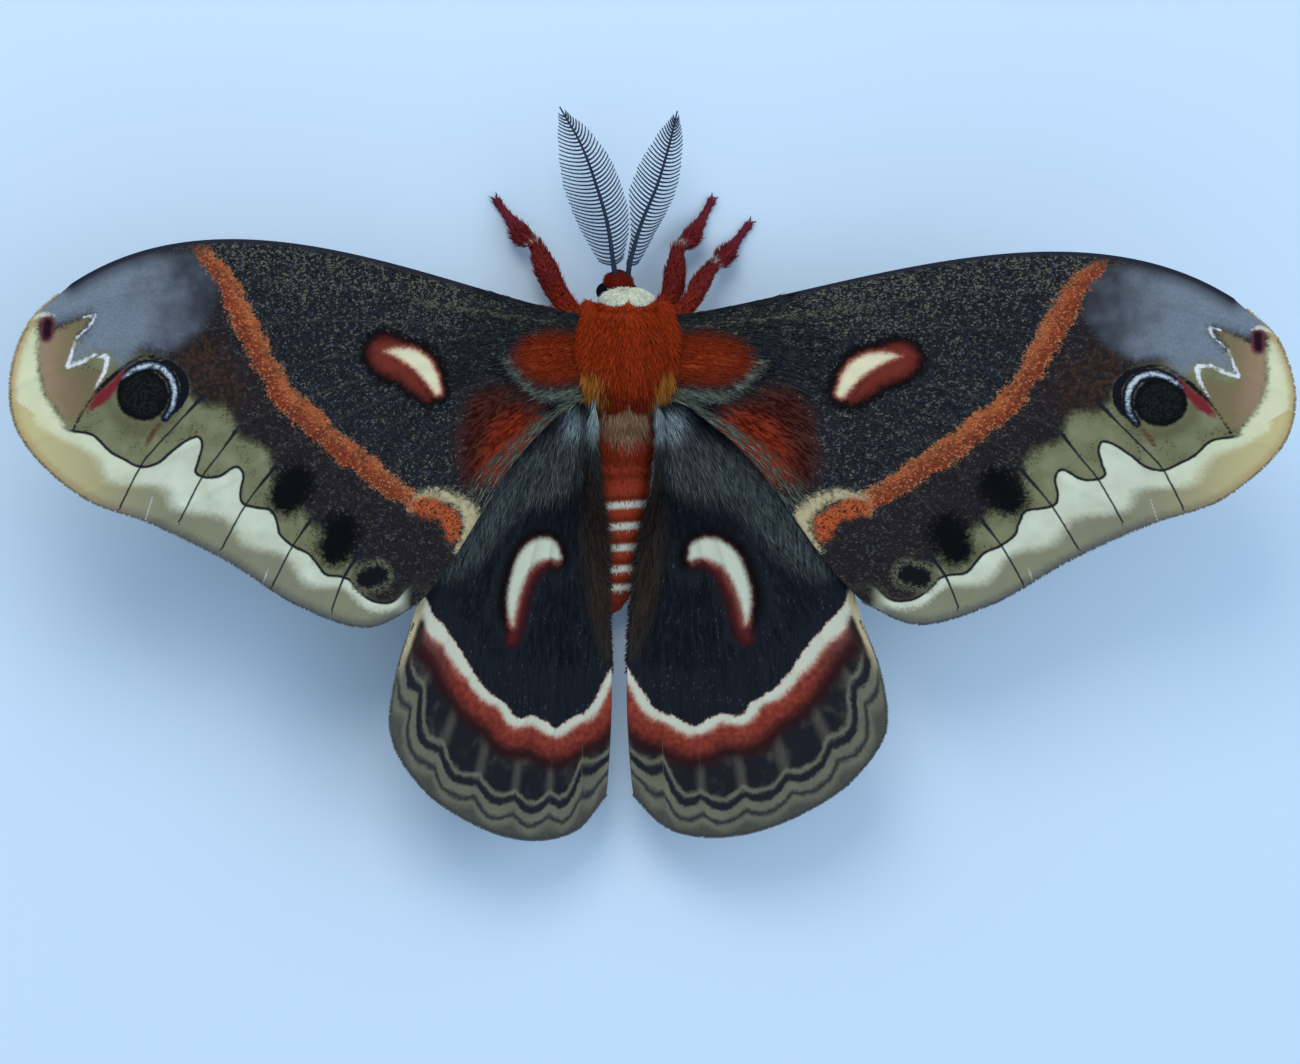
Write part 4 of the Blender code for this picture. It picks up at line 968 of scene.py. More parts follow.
def build_skin_mesh():
    """One skin for the whole body, in millimetres: points and triangles."""
    heap = Heap()
    heap.add(*ball(THORAX_CENTRE, THORAX_RADII - COAT["thorax"], shoulder=THORAX_SHOULDER))
    heap.add(*ball(HEAD_CENTRE, HEAD_RADII - COAT["head"]))
    heap.add(*ball(COLLAR_CENTRE, COLLAR_RADII - COAT["collar"]))
    for side in (-1.0, 1.0):
        centre = mirrored(PALP_CENTRE, side) + np.array([HEAD_CENTRE[0], 0.0, 0.0])
        heap.add(*ball(centre, PALP_RADII, 16, 10))
        heap.add(*ball(mirrored(SHOULDER_CENTRE, side), SHOULDER_RADII, 24, 20))
    heap.add(*ball(NAPE_CENTRE, NAPE_RADII))
    heap.add(*tube(*abdomen_path(), 36))
    for _, side, stations in LEGS:
        heap.add(*tube(*leg_path(side, stations, COAT["leg"]), 14))
    return voxel_skin(heap)


def off_ball(points, centre, radii):
    return (np.linalg.norm((points - centre) / radii, axis=1) - 1.0) * np.min(radii)


def off_tube(points, centres, radii):
    """Distance off a tube's surface, and how far along it lies, from 0 to 1."""
    best = np.full(len(points), UNMEASURED)
    along = np.zeros(len(points))
    for k in range(len(centres) - 1):
        step = centres[k + 1] - centres[k]
        u = np.clip(((points - centres[k]) @ step) / (step @ step), 0.0, 1.0)
        gap = np.linalg.norm(points - centres[k] - u[:, None] * step, axis=1)
        gap -= radii[k] + (radii[k + 1] - radii[k]) * u
        closer = gap < best
        best[closer] = gap[closer]
        along[closer] = (k + u[closer]) / (len(centres) - 1)
    return best, along


def collar_edge(x):
    """The collar's rear edge, in two lobes with a notch between them."""
    off = np.abs(x + 0.4)
    return 24.0 + 0.5 * np.exp(-(off / 0.4) ** 2) + 0.75 * smooth_step(off, 1.6, 3.3)


def read_parts(points):
    """Which part of the body each skin point belongs to, and how far along its leg it lies."""
    names = ["thorax", "head", "collar", "abdomen"] + [name for name, side, stations in LEGS]
    shoulders = [np.abs(off_ball(points, mirrored(SHOULDER_CENTRE, side), SHOULDER_RADII))
                 for side in (-1.0, 1.0)]
    thorax = np.abs(off_ball(points, THORAX_CENTRE, THORAX_RADII - COAT["thorax"]))
    nape = np.abs(off_ball(points, NAPE_CENTRE, NAPE_RADII))
    gaps = [np.min([*shoulders, thorax, nape], axis=0),
            np.minimum(np.abs(off_ball(points, HEAD_CENTRE, HEAD_RADII - COAT["head"])),
                       np.where(points[:, 1] > 27.6, 0.1, FAR)),
            np.abs(off_ball(points, COLLAR_CENTRE, COLLAR_RADII - COAT["collar"])),
            np.abs(off_tube(points, *abdomen_path())[0])]
    alongs = [np.zeros(len(points))] * 4
    for _, side, stations in LEGS:
        gap, along = off_tube(points, *leg_path(side, stations, COAT["leg"]))
        gaps.append(np.abs(gap))
        alongs.append(along)
    owner = np.argmin(np.array(gaps), axis=0)
    owner[(owner == 2) & (points[:, 1] < collar_edge(points[:, 0]) + 0.3)] = 0
    along = np.array(alongs)[owner, np.arange(len(points))]
    return names, owner, along


def mixed(first, second, share):
    return first + (second - first) * np.clip(share, 0.0, 1.0)[:, None]


def thorax_marking(x, y, z, many):
    # painted shade: the coat darkens towards the thorax's lower half, below z = 8 mm
    colour = mixed(RUST * many, DARK_RUST, smooth_step(-z, -8.0, -4.0))
    # painted shade of a groove: two dark lines beside the middle of the back
    groove = np.exp(-((np.abs(x + 0.2) - 1.3) / 0.3) ** 2) * smooth_step(y, 15.0, 18.0)
    colour = mixed(colour, DARK_RUST * 0.8, 0.45 * groove)
    rear = smooth_step(-y, -16.5, -14.0) * smooth_step(-np.abs(x), -3.6, -2.4)
    colour = mixed(colour, DARK_RUST, 0.8 * rear)
    corner = np.exp(-((np.abs(x) - 4.4) / 1.0) ** 2 - ((y - 15.3) / 1.7) ** 2)
    return mixed(colour, AMBER, 1.1 * corner * smooth_step(z, 7.0, 9.0))


def abdomen_marking(x, y, z, many):
    """Red with white rings, each with a dark shade before it, and a pale wedge behind the thorax."""
    behind = [y - 0.06 * x - place for place in WHITE_RINGS]
    ring = np.max([np.exp(-(off / WHITE_RING_WIDTH) ** 4) for off in behind], axis=0)
    shade = np.max([np.exp(-((off - 0.75) / 0.3) ** 2) for off in behind], axis=0)
    colour = mixed(ABDOMEN_RED * many, DARK_RUST * 0.5, 0.6 * shade * (y < 7.0))
    colour = mixed(colour, WHITE, 0.95 * ring * (y < 4.2))
    colour = mixed(colour, WHITE, 0.75 * smooth_step(-z, -2.4, -1.2))
    colour = mixed(colour, DARK_RUST, 0.4 * smooth_step(y, 3.5, 8.0))
    wedge = smooth_step(y - 0.55 * np.abs(x), 8.4, 10.4) * smooth_step(z, 7.0, 9.0)
    return mixed(colour, BEIGE, 0.9 * wedge)


def leg_marking(along, many):
    colour = mixed(MAROON * many, PURPLE, smooth_step(along, 0.4, 0.9))
    colour = mixed(colour, RUST, smooth_step(-along, -0.25, 0.0))
    knee = np.exp(-((along - KNEE) / 0.013) ** 2)
    return mixed(colour, WHITE, 0.8 * knee)


def marking(points, part, along):
    """The coat's colour at points of one part of the body."""
    x, y, z = points.T
    many = np.ones((len(points), 1))
    if part == "thorax":
        return thorax_marking(x, y, z, many)
    if part == "collar":
        return CREAM * many
    if part == "head":
        return mixed(DARK_RUST * 0.9 * many, MAROON * 0.4, smooth_step(y, 26.6, 28.2))
    if part == "abdomen":
        return abdomen_marking(x, y, z, many)
    return leg_marking(along, many)


def marked_material(name, roughness, streak):
    """A coat or skin in its own marking, with fine streaks of light and dark."""
    p = Paint(name, roughness, 0.06)
    colour = p.add("ShaderNodeAttribute", attribute_name="marking").outputs["Color"]
    mottle = p.noise(streak, streak, streak)
    p.colour = p.blend(colour, (20, 8, 6), p.ramp(mottle, 0.5, -0.2))
    return p.finish(p.noise(0.12), 0.3, 0.03)


def build_skin(points, triangles, names, owner, along):
    colours = np.zeros_like(points)
    for k, name in enumerate(names):
        chosen = owner == k
        colours[chosen] = marking(points[chosen], name, along[chosen])
    skin = make_mesh("body_skin", points, triangles, marked_material("skin", 0.8, 0.5),
                     colours=colours * SKIN_SHADE)
    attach(skin, "root")
    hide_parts(*names)


# The coat's tufts

def scatter(rng, points, triangles, chosen, count):
    """Random places on the chosen triangles: points, normals and the triangle of each."""
    picked = triangles[chosen]
    a, b, c = (points[picked[:, k]] for k in range(3))
    normal = np.cross(b - a, c - a)
    area = np.linalg.norm(normal, axis=1)
    index = rng.choice(len(picked), count, p=area / area.sum())
    u = rng.random((count, 1))
    v = rng.random((count, 1))
    flip = (u + v) > 1.0
    u = np.where(flip, 1.0 - u, u)
    v = np.where(flip, 1.0 - v, v)
    roots = a[index] + (b - a)[index] * u + (c - a)[index] * v
    return roots, unit(normal[index]), np.nonzero(chosen)[0][index]


def inset(share):
    """A place from 0 to 1 on the unwrapped surface, kept off its edges."""
    return 0.02 + 0.96 * share


def unwrap_round(roots, centre, low, high):
    """The roots' place on the body's surface unrolled about a line along Y."""
    angle = np.arctan2(roots[:, 0] - centre[0], roots[:, 2] - centre[2]) / (2.0 * math.pi)
    return inset(np.stack([angle + 0.5, (roots[:, 1] - low) / (high - low)], axis=1))


TUFT_SIDES = 3
TUFT_PATCH = 0.003             # a tuft's size on the unwrapped surface
ROOT_SHADE = 0.68              # a tuft is darker at its root than at its tip
TIP_SHADE = 1.18


def tuft_faces(stations):
    """The triangles of one tuft, whose last point is its tip."""
    faces = []
    for i in range(stations - 2):
        for k in range(TUFT_SIDES):
            a = i * TUFT_SIDES + k
            b = i * TUFT_SIDES + (k + 1) % TUFT_SIDES
            faces += [(a, b, b + TUFT_SIDES), (a, b + TUFT_SIDES, a + TUFT_SIDES)]
    last = (stations - 2) * TUFT_SIDES
    for k in range(TUFT_SIDES):
        faces.append((last + k, last + (k + 1) % TUFT_SIDES, last + TUFT_SIDES))
    faces.append((2, 1, 0))
    return np.array(faces)


def build_tufts(name, material, paths, widths, flats, colours, unwrapped):
    """Tapered, flattened tufts joined in one mesh. paths holds each tuft's centre line."""
    count, stations = paths.shape[:2]
    forward = unit(np.gradient(paths, axis=1))
    across_tuft = unit(np.cross(forward, flats[:, None]))
    top = np.cross(across_tuft, forward)
    angles = 2.0 * math.pi * np.arange(TUFT_SIDES) / TUFT_SIDES + math.pi / 6.0
    share = np.linspace(0.0, 1.0, stations)
    taper = (1.0 - share ** 1.6) * (0.75 + 0.5 * np.sin(math.pi * np.minimum(share * 1.3, 1.0)))
    ring = (across_tuft[:, :, None] * np.cos(angles)[None, None, :, None]
            + 0.5 * top[:, :, None] * np.sin(angles)[None, None, :, None])
    rings = paths[:, :, None] + ring * (widths[:, None] * taper[None, :])[:, :, None, None]
    body = rings[:, :-1].reshape(count, -1, 3)
    points = np.concatenate([body, paths[:, -1:]], axis=1)
    points[:, :, 2] = np.maximum(points[:, :, 2], 0.0)
    each = points.shape[1]
    faces = (tuft_faces(stations)[None] + (np.arange(count) * each)[:, None, None]).reshape(-1, 3)
    shade = ROOT_SHADE + (TIP_SHADE - ROOT_SHADE) * np.append(np.repeat(share[:-1], TUFT_SIDES), 1.0)
    tinted = colours[:, None] * shade[None, :, None]
    turn = np.linspace(0.0, 6.0, each)
    spread = TUFT_PATCH / 2.0 * np.stack([np.cos(turn), np.sin(turn)], axis=1)
    uvs = unwrapped[:, None] + spread[None]
    made = make_mesh(name, points.reshape(-1, 3), faces, material, colours=tinted.reshape(-1, 3),
                     uvs=uvs.reshape(-1, 2))
    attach(made, "root")


def lying_paths(rng, roots, normals, lie, lengths, lift, stations, sink=0.15, stray=0.18):
    """Centre lines that leave the skin at the lift angle and bend back along the lie."""
    lie = lie - normals * np.sum(lie * normals, axis=1, keepdims=True)
    lie = unit(unit(lie) + stray * rng.normal(size=lie.shape))
    start = unit(lie * np.cos(lift)[:, None] + normals * np.sin(lift)[:, None])
    share = np.linspace(0.0, 1.0, stations)[None, :, None]
    way = start[:, None] * share + (lie - start)[:, None] * 0.45 * share ** 2
    return (roots - normals * sink)[:, None] + way * lengths[:, None, None]


# Each pelt: part of the body, piece, side (0 for both), tufts, length, lift, width, stations and slot
PELTS = [
    ("thorax", "thorax_fur_left", -1, 9500, 1.6, 0.5, 0.09, 4, "fur_rust"),
    ("thorax", "thorax_fur_right", 1, 9500, 1.6, 0.5, 0.09, 4, "fur_rust"),
    ("head", "head_fur", 0, 4200, 0.75, 0.55, 0.055, 4, "fur_rust"),
    ("collar", "collar_fur", 0, 5200, 0.8, 0.42, 0.07, 4, "fur_cream"),
    ("abdomen", "abdomen_fur", 0, 17000, 0.95, 0.32, 0.075, 3, "abdomen_bands"),
]
PELT_CENTRES = {"thorax": THORAX_CENTRE, "head": HEAD_CENTRE, "collar": COLLAR_CENTRE,
                "abdomen": (0.0, 0.0, 4.6)}
LEG_TUFTS = 17000


def body_lie(part, roots):
    """Which way the coat lies."""
    x, _, z = roots.T
    back = -np.ones_like(x)
    if part == "head":
        return np.stack([0.1 * (x - HEAD_CENTRE[0]), -back, 0.25 * (z - HEAD_CENTRE[2])], axis=1)
    if part == "collar":
        return np.stack([0.12 * x, back, 0.0 * x], axis=1)
    if part == "thorax":
        flare = 0.05 * x + 0.14 * np.sign(x) * smooth_step(np.abs(x), 3.0, 5.0)
        return np.stack([flare, back, -0.1 + 0.0 * x], axis=1)
    return np.stack([0.03 * x, back, 0.0 * x], axis=1)


def build_body_coat(rng, points, triangles, names, owner, fur):
    middle = points[triangles].mean(axis=1)
    part = owner[triangles[:, 0]]
    for key, name, half, count, length, lift, width, stations, slot in PELTS:
        chosen = part == names.index(key)
        if half:
            chosen = chosen & (middle[:, 0] * half >= 0.0)
        roots, normals = scatter(rng, points, triangles, chosen, count)[:2]
        lengths = length * rng.uniform(0.7, 1.25, count)
        if key == "thorax":
            lengths = lengths * (1.0 + 0.5 * smooth_step(-roots[:, 1], -16.0, -13.5))
            lengths = lengths * (1.0 - 0.45 * smooth_step(roots[:, 1], 22.4, 24.2))
        if key == "abdomen":
            lengths = lengths * (0.6 + 0.9 * smooth_step(roots[:, 1], 5.0, 10.0))
        if key == "head":
            lengths = lengths * (1.0 - 0.5 * smooth_step(roots[:, 1], 26.6, 27.8))
        if key == "collar":
            lengths = np.clip((roots[:, 1] - collar_edge(roots[:, 0])) * 1.05, 0.35, lengths)
        blur = np.where(roots[:, 1] < 6.0, 0.04, 0.35) if key == "abdomen" else np.full(count, 0.3)
        blurred = roots + rng.normal(0.0, 1.0, roots.shape) * blur[:, None]
        colours = marking(roots if key == "collar" else blurred, key, None)
        colours = colours * rng.uniform(0.7, 1.3, (count, 1))
        centre = PELT_CENTRES[key]
        unwrapped = unwrap_round(roots, centre, roots[:, 1].min(), roots[:, 1].max())
        paths = lying_paths(rng, roots, normals, body_lie(key, roots), lengths,
                            lift * rng.uniform(0.6, 1.35, count), stations)
        build_tufts(name, fur, paths, width * rng.uniform(0.7, 1.3, count), normals, colours,
                    unwrapped)


def build_leg_coat(rng, points, triangles, owner, along, fur):
    part = owner[triangles[:, 0]]
    face_along = along[triangles[:, 0]]
    roots, normals, index = scatter(rng, points, triangles, part >= 4, LEG_TUFTS)
    place = face_along[index]
    lie = np.zeros_like(roots)
    unwrapped = np.zeros((LEG_TUFTS, 2))
    for k, (_, side, stations) in enumerate(LEGS):
        centres = leg_path(side, stations, COAT["leg"])[0]
        mine = part[index] == 4 + k
        near = np.minimum((place[mine] * (len(centres) - 1)).astype(int), len(centres) - 2)
        lie[mine] = unit(centres[near + 1] - centres[near])
        around = roots[mine] - centres[near]
        angle = np.arctan2(around[:, 2], around[:, 0] * lie[mine][:, 1] - around[:, 1] * lie[mine][:, 0])
        strip = (k + 0.5 + 0.4 * angle / math.pi) / len(LEGS)
        unwrapped[mine] = np.stack([inset(place[mine]), strip], axis=1)
    tarsus = smooth_step(place, 0.6, 0.72)
    brush = np.exp(-((place - 0.56) / 0.06) ** 2) + 0.5 * np.exp(-((place - 0.4) / 0.04) ** 2)
    lengths = (0.85 - 0.3 * tarsus + 0.35 * brush) * rng.uniform(0.6, 1.3, LEG_TUFTS)
    lifts = (0.52 + 0.2 * brush) * rng.uniform(0.6, 1.3, LEG_TUFTS)
    colours = marking(roots, "leg", place) * rng.uniform(0.5, 1.4, (LEG_TUFTS, 1))
    build_tufts("leg_fur_tufts", fur,
                lying_paths(rng, roots, normals, lie, lengths, lifts, 3, 0.08),
                (0.075 - 0.02 * tarsus) * rng.uniform(0.7, 1.3, LEG_TUFTS), normals, colours, unwrapped)


# Locks at the rear of the thorax: x and y of their roots, spread, tufts, length, flare and colour
LOCKS = [
    (4.7, 14.2, 0.5, 0.5, 260, 2.8, 0.1, PALE_BLUE * 0.8),
    (4.4, 16.2, 0.8, 0.9, 560, 2.4, 0.12, AMBER),
    (3.2, 14.4, 0.6, 0.5, 200, 2.2, 0.0, AMBER * 0.5),
    (1.0, 13.4, 0.9, 0.4, 420, 2.8, 0.05, BEIGE * 0.8),
    (2.2, 14.2, 0.9, 0.7, 420, 2.2, -0.05, DARK_RUST),
]


def build_locks(rng, points, triangles, fur):
    """Longer tufts behind the thorax, over the roots of the hindwings and of the abdomen."""
    middle = points[triangles].mean(axis=1)
    corners = points[triangles]
    normal = unit(np.cross(corners[:, 1] - corners[:, 0], corners[:, 2] - corners[:, 0]))
    gathered = []
    for x, y, spread_x, spread_y, count, length, flare, colour in LOCKS:
        for side in (-1.0, 1.0):
            off_x = (middle[:, 0] * side - x) / spread_x
            off_y = (middle[:, 1] - y) / spread_y
            weight = np.exp(-off_x ** 2 - off_y ** 2)
            weight = weight * np.clip(normal[:, 2] + 0.2, 0.0, 1.0) * (middle[:, 2] > 8.6)
            index = rng.choice(len(triangles), count, p=weight / weight.sum())
            roots = middle[index]
            lie = np.tile(np.array([flare * side, -1.0, -0.05]), (count, 1))
            normals = unit(normal[index] * 0.4 + np.array([0.0, 0.0, 0.6]))
            paths = lying_paths(rng, roots, normals, lie, length * rng.uniform(0.6, 1.2, count),
                                0.3 * rng.uniform(0.4, 1.4, count), 4, 0.1, 0.1)
            gathered.append((roots, paths, normals, colour * rng.uniform(0.65, 1.3, (count, 1))))
    roots, paths, normals, colours = (np.concatenate(rows) for rows in zip(*gathered))
    build_tufts("rear_locks", fur, paths, 0.08 * rng.uniform(0.7, 1.3, len(roots)), normals,
                colours, unwrap_round(roots, THORAX_CENTRE, 11.0, 19.0))


# Hair on the wings

WING_HAIR = 5200               # tufts on each wing
INNER_HAIR = 3600
FRINGE = 2200


def on_sheet(grid, u, t):
    """Points on a wing's surface grid at u and t from 0 to 1."""
    columns, stations = grid.shape[:2]
    a = np.clip(u, 0.0, 1.0) * (columns - 1)
    b = np.clip(t, 0.0, 1.0) * (stations - 1)
    i = np.minimum(a.astype(int), columns - 2)
    j = np.minimum(b.astype(int), stations - 2)
    fu = (a - i)[:, None]
    ft = (b - j)[:, None]
    return ((grid[i, j] * (1.0 - fu) + grid[i + 1, j] * fu) * (1.0 - ft)
            + (grid[i, j + 1] * (1.0 - fu) + grid[i + 1, j + 1] * fu) * ft)


def forewing_hair(rng, plan, u, t):
    """Colour and length of the hair at places on the forewing, a length of 0 where there is none."""
    colour = mixed(np.tile(NAVY, (len(u), 1)), SAGE, 0.2 * rng.random(len(u)))
    base = smooth_step(-patch(plan, BASE_PATCH), -0.8, 0.9)
    second = smooth_step(-patch(plan, SECOND_PATCH), -0.6, 1.6)
    core = smooth_step(-ribbon(plan, *FOREWING_RIBBONS["second_core"]), -1.6, 0.6)
    colour = mixed(colour, mixed(DARK_RUST * 0.26 * np.ones_like(colour), DARK_RUST * 0.7, core), second)
    colour = mixed(colour, RUST * 0.62, base)
    arc = smooth_step(-ribbon(plan, BASE_ARC, [0.4, 0.5, 0.4, 0.35, 0.2]), -0.3, 0.1)
    colour = mixed(colour, SAGE * rng.uniform(0.3, 1.1, (len(u), 1)), arc)
    inner = smooth_step(u, 0.93, 0.97) * smooth_step(-t, -0.72, -0.6)
    colour = mixed(colour, SAGE * rng.uniform(0.45, 1.3, (len(u), 1)), inner)
    reach = np.max([base, second, arc, inner, smooth_step(-t, -0.3, -0.22)], axis=0)
    bare = np.zeros(len(u), bool)
    for key, clearance in (("discal_red", 1.3), ("discal", 1.3), ("inner_red", 1.0), ("inner_cream", 0.7)):
        bare |= ribbon(plan, *FOREWING_RIBBONS[key]) < clearance
    return colour, np.where((reach > rng.random(len(u))) & ~bare, 1.3 + 0.5 * inner, 0.0)


def hindwing_hair(rng, plan, u, t):
    """The same for the hindwing."""
    slate = smooth_step(-patch(plan, SLATE_FIELD), -1.6, 0.6)
    colour = mixed(np.tile(NAVY, (len(u), 1)), SLATE * 1.9, slate * rng.uniform(0.1, 1.0, len(u)))
    brown = smooth_step(-ribbon(plan, BROWN_EDGE, BROWN_EDGE_WIDTHS), -0.9, 0.2)
    colour = mixed(colour, UMBER * rng.uniform(0.5, 1.3, (len(u), 1)), brown)
    pale = np.exp(-((plan[:, 0] - 5.2) / 1.2) ** 2 - ((plan[:, 1] - 12.3) / 1.6) ** 2)
    colour = mixed(colour, PALE_BLUE, 1.8 * pale * rng.uniform(0.4, 1.0, len(u)))
    clear = ribbon(plan, CRESCENT, CRESCENT_WIDTHS)
    tip = np.minimum(clear, across(plan, WHITE_LINE) * -1.0)
    return colour, np.where(tip > 2.0, 1.8, 0.0)


def build_wing_tufts(rng, name, side, paths, width, normals, colours, u, t):
    """Tufts laid out on the right wing, carried to their own side."""
    widths = width * rng.uniform(0.7, 1.3, len(paths))
    build_tufts(name, fur_material, mirrored(paths, side), widths, mirrored(normals, side), colours,
                inset(np.stack([u, t], axis=1)))


def build_wing_hair(rng, name, side, wing, read_hair, spread):
    """Short hair on a wing's upper side, from its root outward."""
    grid = wing_surface(wing, 80, 90)[0]
    u = rng.random(WING_HAIR * 2)
    t = 0.02 + spread * rng.random(WING_HAIR * 2) ** 1.15
    roots = on_sheet(grid, u, t)
    colours, lengths = read_hair(rng, roots[:, :2], u, t)
    kept = np.nonzero(lengths > 0.0)[0][:WING_HAIR]
    roots, u, t, colours, lengths = (values[kept] for values in (roots, u, t, colours, lengths))
    lie = on_sheet(grid, u, t + 0.03) - on_sheet(grid, u, t - 0.02)
    beside = on_sheet(grid, u + 0.02, t) - on_sheet(grid, u - 0.02, t)
    normals = unit(np.cross(beside, lie))
    normals *= np.sign(normals[:, 2:])
    count = len(kept)
    lengths = lengths * rng.uniform(0.6, 1.3, count)
    paths = lying_paths(rng, roots + normals * WING_HALF_THICKNESS, normals, lie, lengths,
                        0.22 * rng.uniform(0.4, 1.4, count), 3, 0.06, 0.1)
    colours = colours * rng.uniform(0.7, 1.3, (count, 1))
    build_wing_tufts(rng, name, side, paths, 0.06, normals, colours, u, t)


def build_inner_hair(rng, name, side, wing):
    """Long brown hair from a hindwing's inner edge over the side of the abdomen."""
    grid = wing_surface(wing, 80, 90)[0]
    u = 1.0 - 0.05 * rng.random(INNER_HAIR) ** 1.5
    t = 0.02 + 0.76 * rng.random(INNER_HAIR) ** 1.35
    roots = on_sheet(grid, u, t)
    toward_tail = unit(on_sheet(grid, u, t + 0.03) - on_sheet(grid, u, t - 0.02))
    toward_body = unit(roots - on_sheet(grid, u - 0.04, t))
    lie = toward_body * rng.uniform(0.5, 1.1, (INNER_HAIR, 1)) * smooth_step(t, -0.1, 0.3)[:, None]
    lie = lie + toward_tail * rng.uniform(0.6, 1.3, (INNER_HAIR, 1))
    normals = unit(np.cross(toward_body, toward_tail))
    normals *= np.sign(normals[:, 2:])
    lengths = (2.5 - 1.9 * smooth_step(t, 0.3, 0.75)) * rng.uniform(0.5, 1.2, INNER_HAIR)
    lifts = 0.3 * rng.uniform(-0.2, 1.3, INNER_HAIR)
    paths = lying_paths(rng, roots, normals, lie, lengths, lifts, 4, 0.06, 0.12)
    colours = mixed(np.tile(UMBER, (INNER_HAIR, 1)), SLATE * 0.7, smooth_step(-t, -0.3, -0.12))
    colours = mixed(colours, PALE_BLUE, smooth_step(-t, -0.13, -0.05))
    colours = colours * rng.uniform(0.45, 1.15, (INNER_HAIR, 1))
    build_wing_tufts(rng, name, side, paths, 0.09, normals, colours, u, t)


def build_fringe(rng, name, side, wing, near_tip, near_body):
    """Short scales that stand out all along a wing's outer edge."""
    grid = wing_surface(wing, 160, 60)[0]
    u = rng.uniform(0.03, 1.0, FRINGE)
    t = np.full(FRINGE, 1.0)
    roots = on_sheet(grid, u, t)
    along_edge = on_sheet(grid, u + 0.01, t) - on_sheet(grid, u - 0.01, t)
    outward = unit(np.cross(along_edge, UP))
    outward *= np.sign(np.sum(outward * (roots - on_sheet(grid, u, t - 0.05)), axis=1, keepdims=True))
    normals = np.tile(UP, (FRINGE, 1))
    colours = mixed(near_tip * np.ones((FRINGE, 3)), near_body, u * 1.3) * rng.uniform(0.7, 1.25, (FRINGE, 1))
    paths = lying_paths(rng, roots - outward * 0.12, normals, outward, 0.34 * rng.uniform(0.7, 1.2, FRINGE),
                        np.zeros(FRINGE), 3, 0.0, 0.12)
    build_wing_tufts(rng, name, side, paths, 0.06, normals, colours, u, t)


rng = np.random.default_rng(SEED)
skin_points, skin_triangles = build_skin_mesh()
part_names, owners, alongs = read_parts(skin_points)
build_skin(skin_points, skin_triangles, part_names, owners, alongs)
fur_material = marked_material("fur", 0.8, 0.35)
build_body_coat(rng, skin_points, skin_triangles, part_names, owners, fur_material)
build_leg_coat(rng, skin_points, skin_triangles, owners, alongs, fur_material)
build_locks(rng, skin_points, skin_triangles, fur_material)
for word, side, shift in SIDES:
    fore = "forewing_" + word
    hind = "hindwing_" + word
    hindwing = (HINDWING_VEINS, HINDWING_LEVEL, HINDWING_RISE, shift)
    build_wing_hair(rng, fore + "_hair", side, FOREWING, forewing_hair, 0.75)
    build_wing_hair(rng, hind + "_hair", side, hindwing, hindwing_hair, 0.7)
    build_inner_hair(rng, hind + "_inner_hair", side, hindwing)
    build_fringe(rng, fore + "_fringe", side, FOREWING, TAN_EDGE, GREY_EDGE)
    build_fringe(rng, hind + "_fringe", side, hindwing, GREY_EDGE, GREY_EDGE)


# The feelers, eyes and claws

# Node, side, spread and droop of the branches, where the inner ones meet, and the stem's points
FEELERS = [
    ("antenna_left", -1, 0.93, 0.3, -0.55,
     [(1.2, 28.7, 9.0), (2.05, 33.0, 9.6), (3.4, 37.2, 9.9), (5.05, 41.4, 9.9), (7.3, 45.4, 9.5)]),
    ("antenna_right", 1, 0.75, 0.6, 0.75,
     [(0.55, 28.7, 9.0), (1.7, 33.0, 9.6), (3.4, 37.2, 9.9), (4.7, 41.4, 9.9), (5.75, 45.2, 9.5)]),
]
# Lengths of the branches from the first to the last
OUTER_REACH = [1.6, 2.8, 3.4, 3.5, 3.4, 3.0, 2.1, 0.9, 0.1]
INNER_REACH = [1.4, 2.6, 3.1, 3.1, 3.0, 2.5, 1.7, 0.7, 0.1]
STEM_START = (0.6, 26.6, 7.9)
STEM_RADII = (0.25, 0.08)
RAMI = 40
RAMI_SPAN = (-0.02, 0.95)
BRANCH_LEAN = 0.42
TIP_LEAN = 0.85
SHORTEST_BRANCH = 0.25
RAMUS_RADIUS = 0.12
RAMUS_STATIONS = 9
HAIRS = 15                     # on each side of a ramus
HAIR_LENGTH = 0.27
HAIR_RADIUS = 0.026
CLAW_LENGTH = 0.6
CLAW_RADIUS = 0.11


def spike(root, tip, radius):
    """A three-sided hair."""
    forward = unit(tip - root)
    side = unit(np.cross(forward, np.array([0.3, 0.2, 1.0])))
    top = np.cross(side, forward)
    angles = 2.0 * math.pi * np.arange(3) / 3.0
    ring = root + radius * (np.cos(angles)[:, None] * side + np.sin(angles)[:, None] * top)
    return np.concatenate([ring, tip[None]]), [[0, 1, 3], [1, 2, 3], [2, 0, 3], [2, 1, 0]]


def add_hairs(heap, rng, centre, u, ahead):
    """Fine hairs on both sides of a branch, whose centre line has a point at each u."""
    for k in range(HAIRS):
        spot = (k + rng.uniform(0.2, 0.8)) / HAIRS
        foot = np.array([np.interp(spot, u, centre[:, axis]) for axis in range(3)])
        step = int(spot * (RAMUS_STATIONS - 1))
        along_ramus = unit(centre[min(step + 1, RAMUS_STATIONS - 1)] - centre[step])
        for way in (-1.0, 1.0):
            tilt = ahead * way + along_ramus * 0.6 + UP * rng.uniform(-0.3, 0.3)
            length = HAIR_LENGTH * rng.uniform(0.7, 1.2)
            heap.add(*spike(foot, foot + unit(tilt) * length, HAIR_RADIUS))


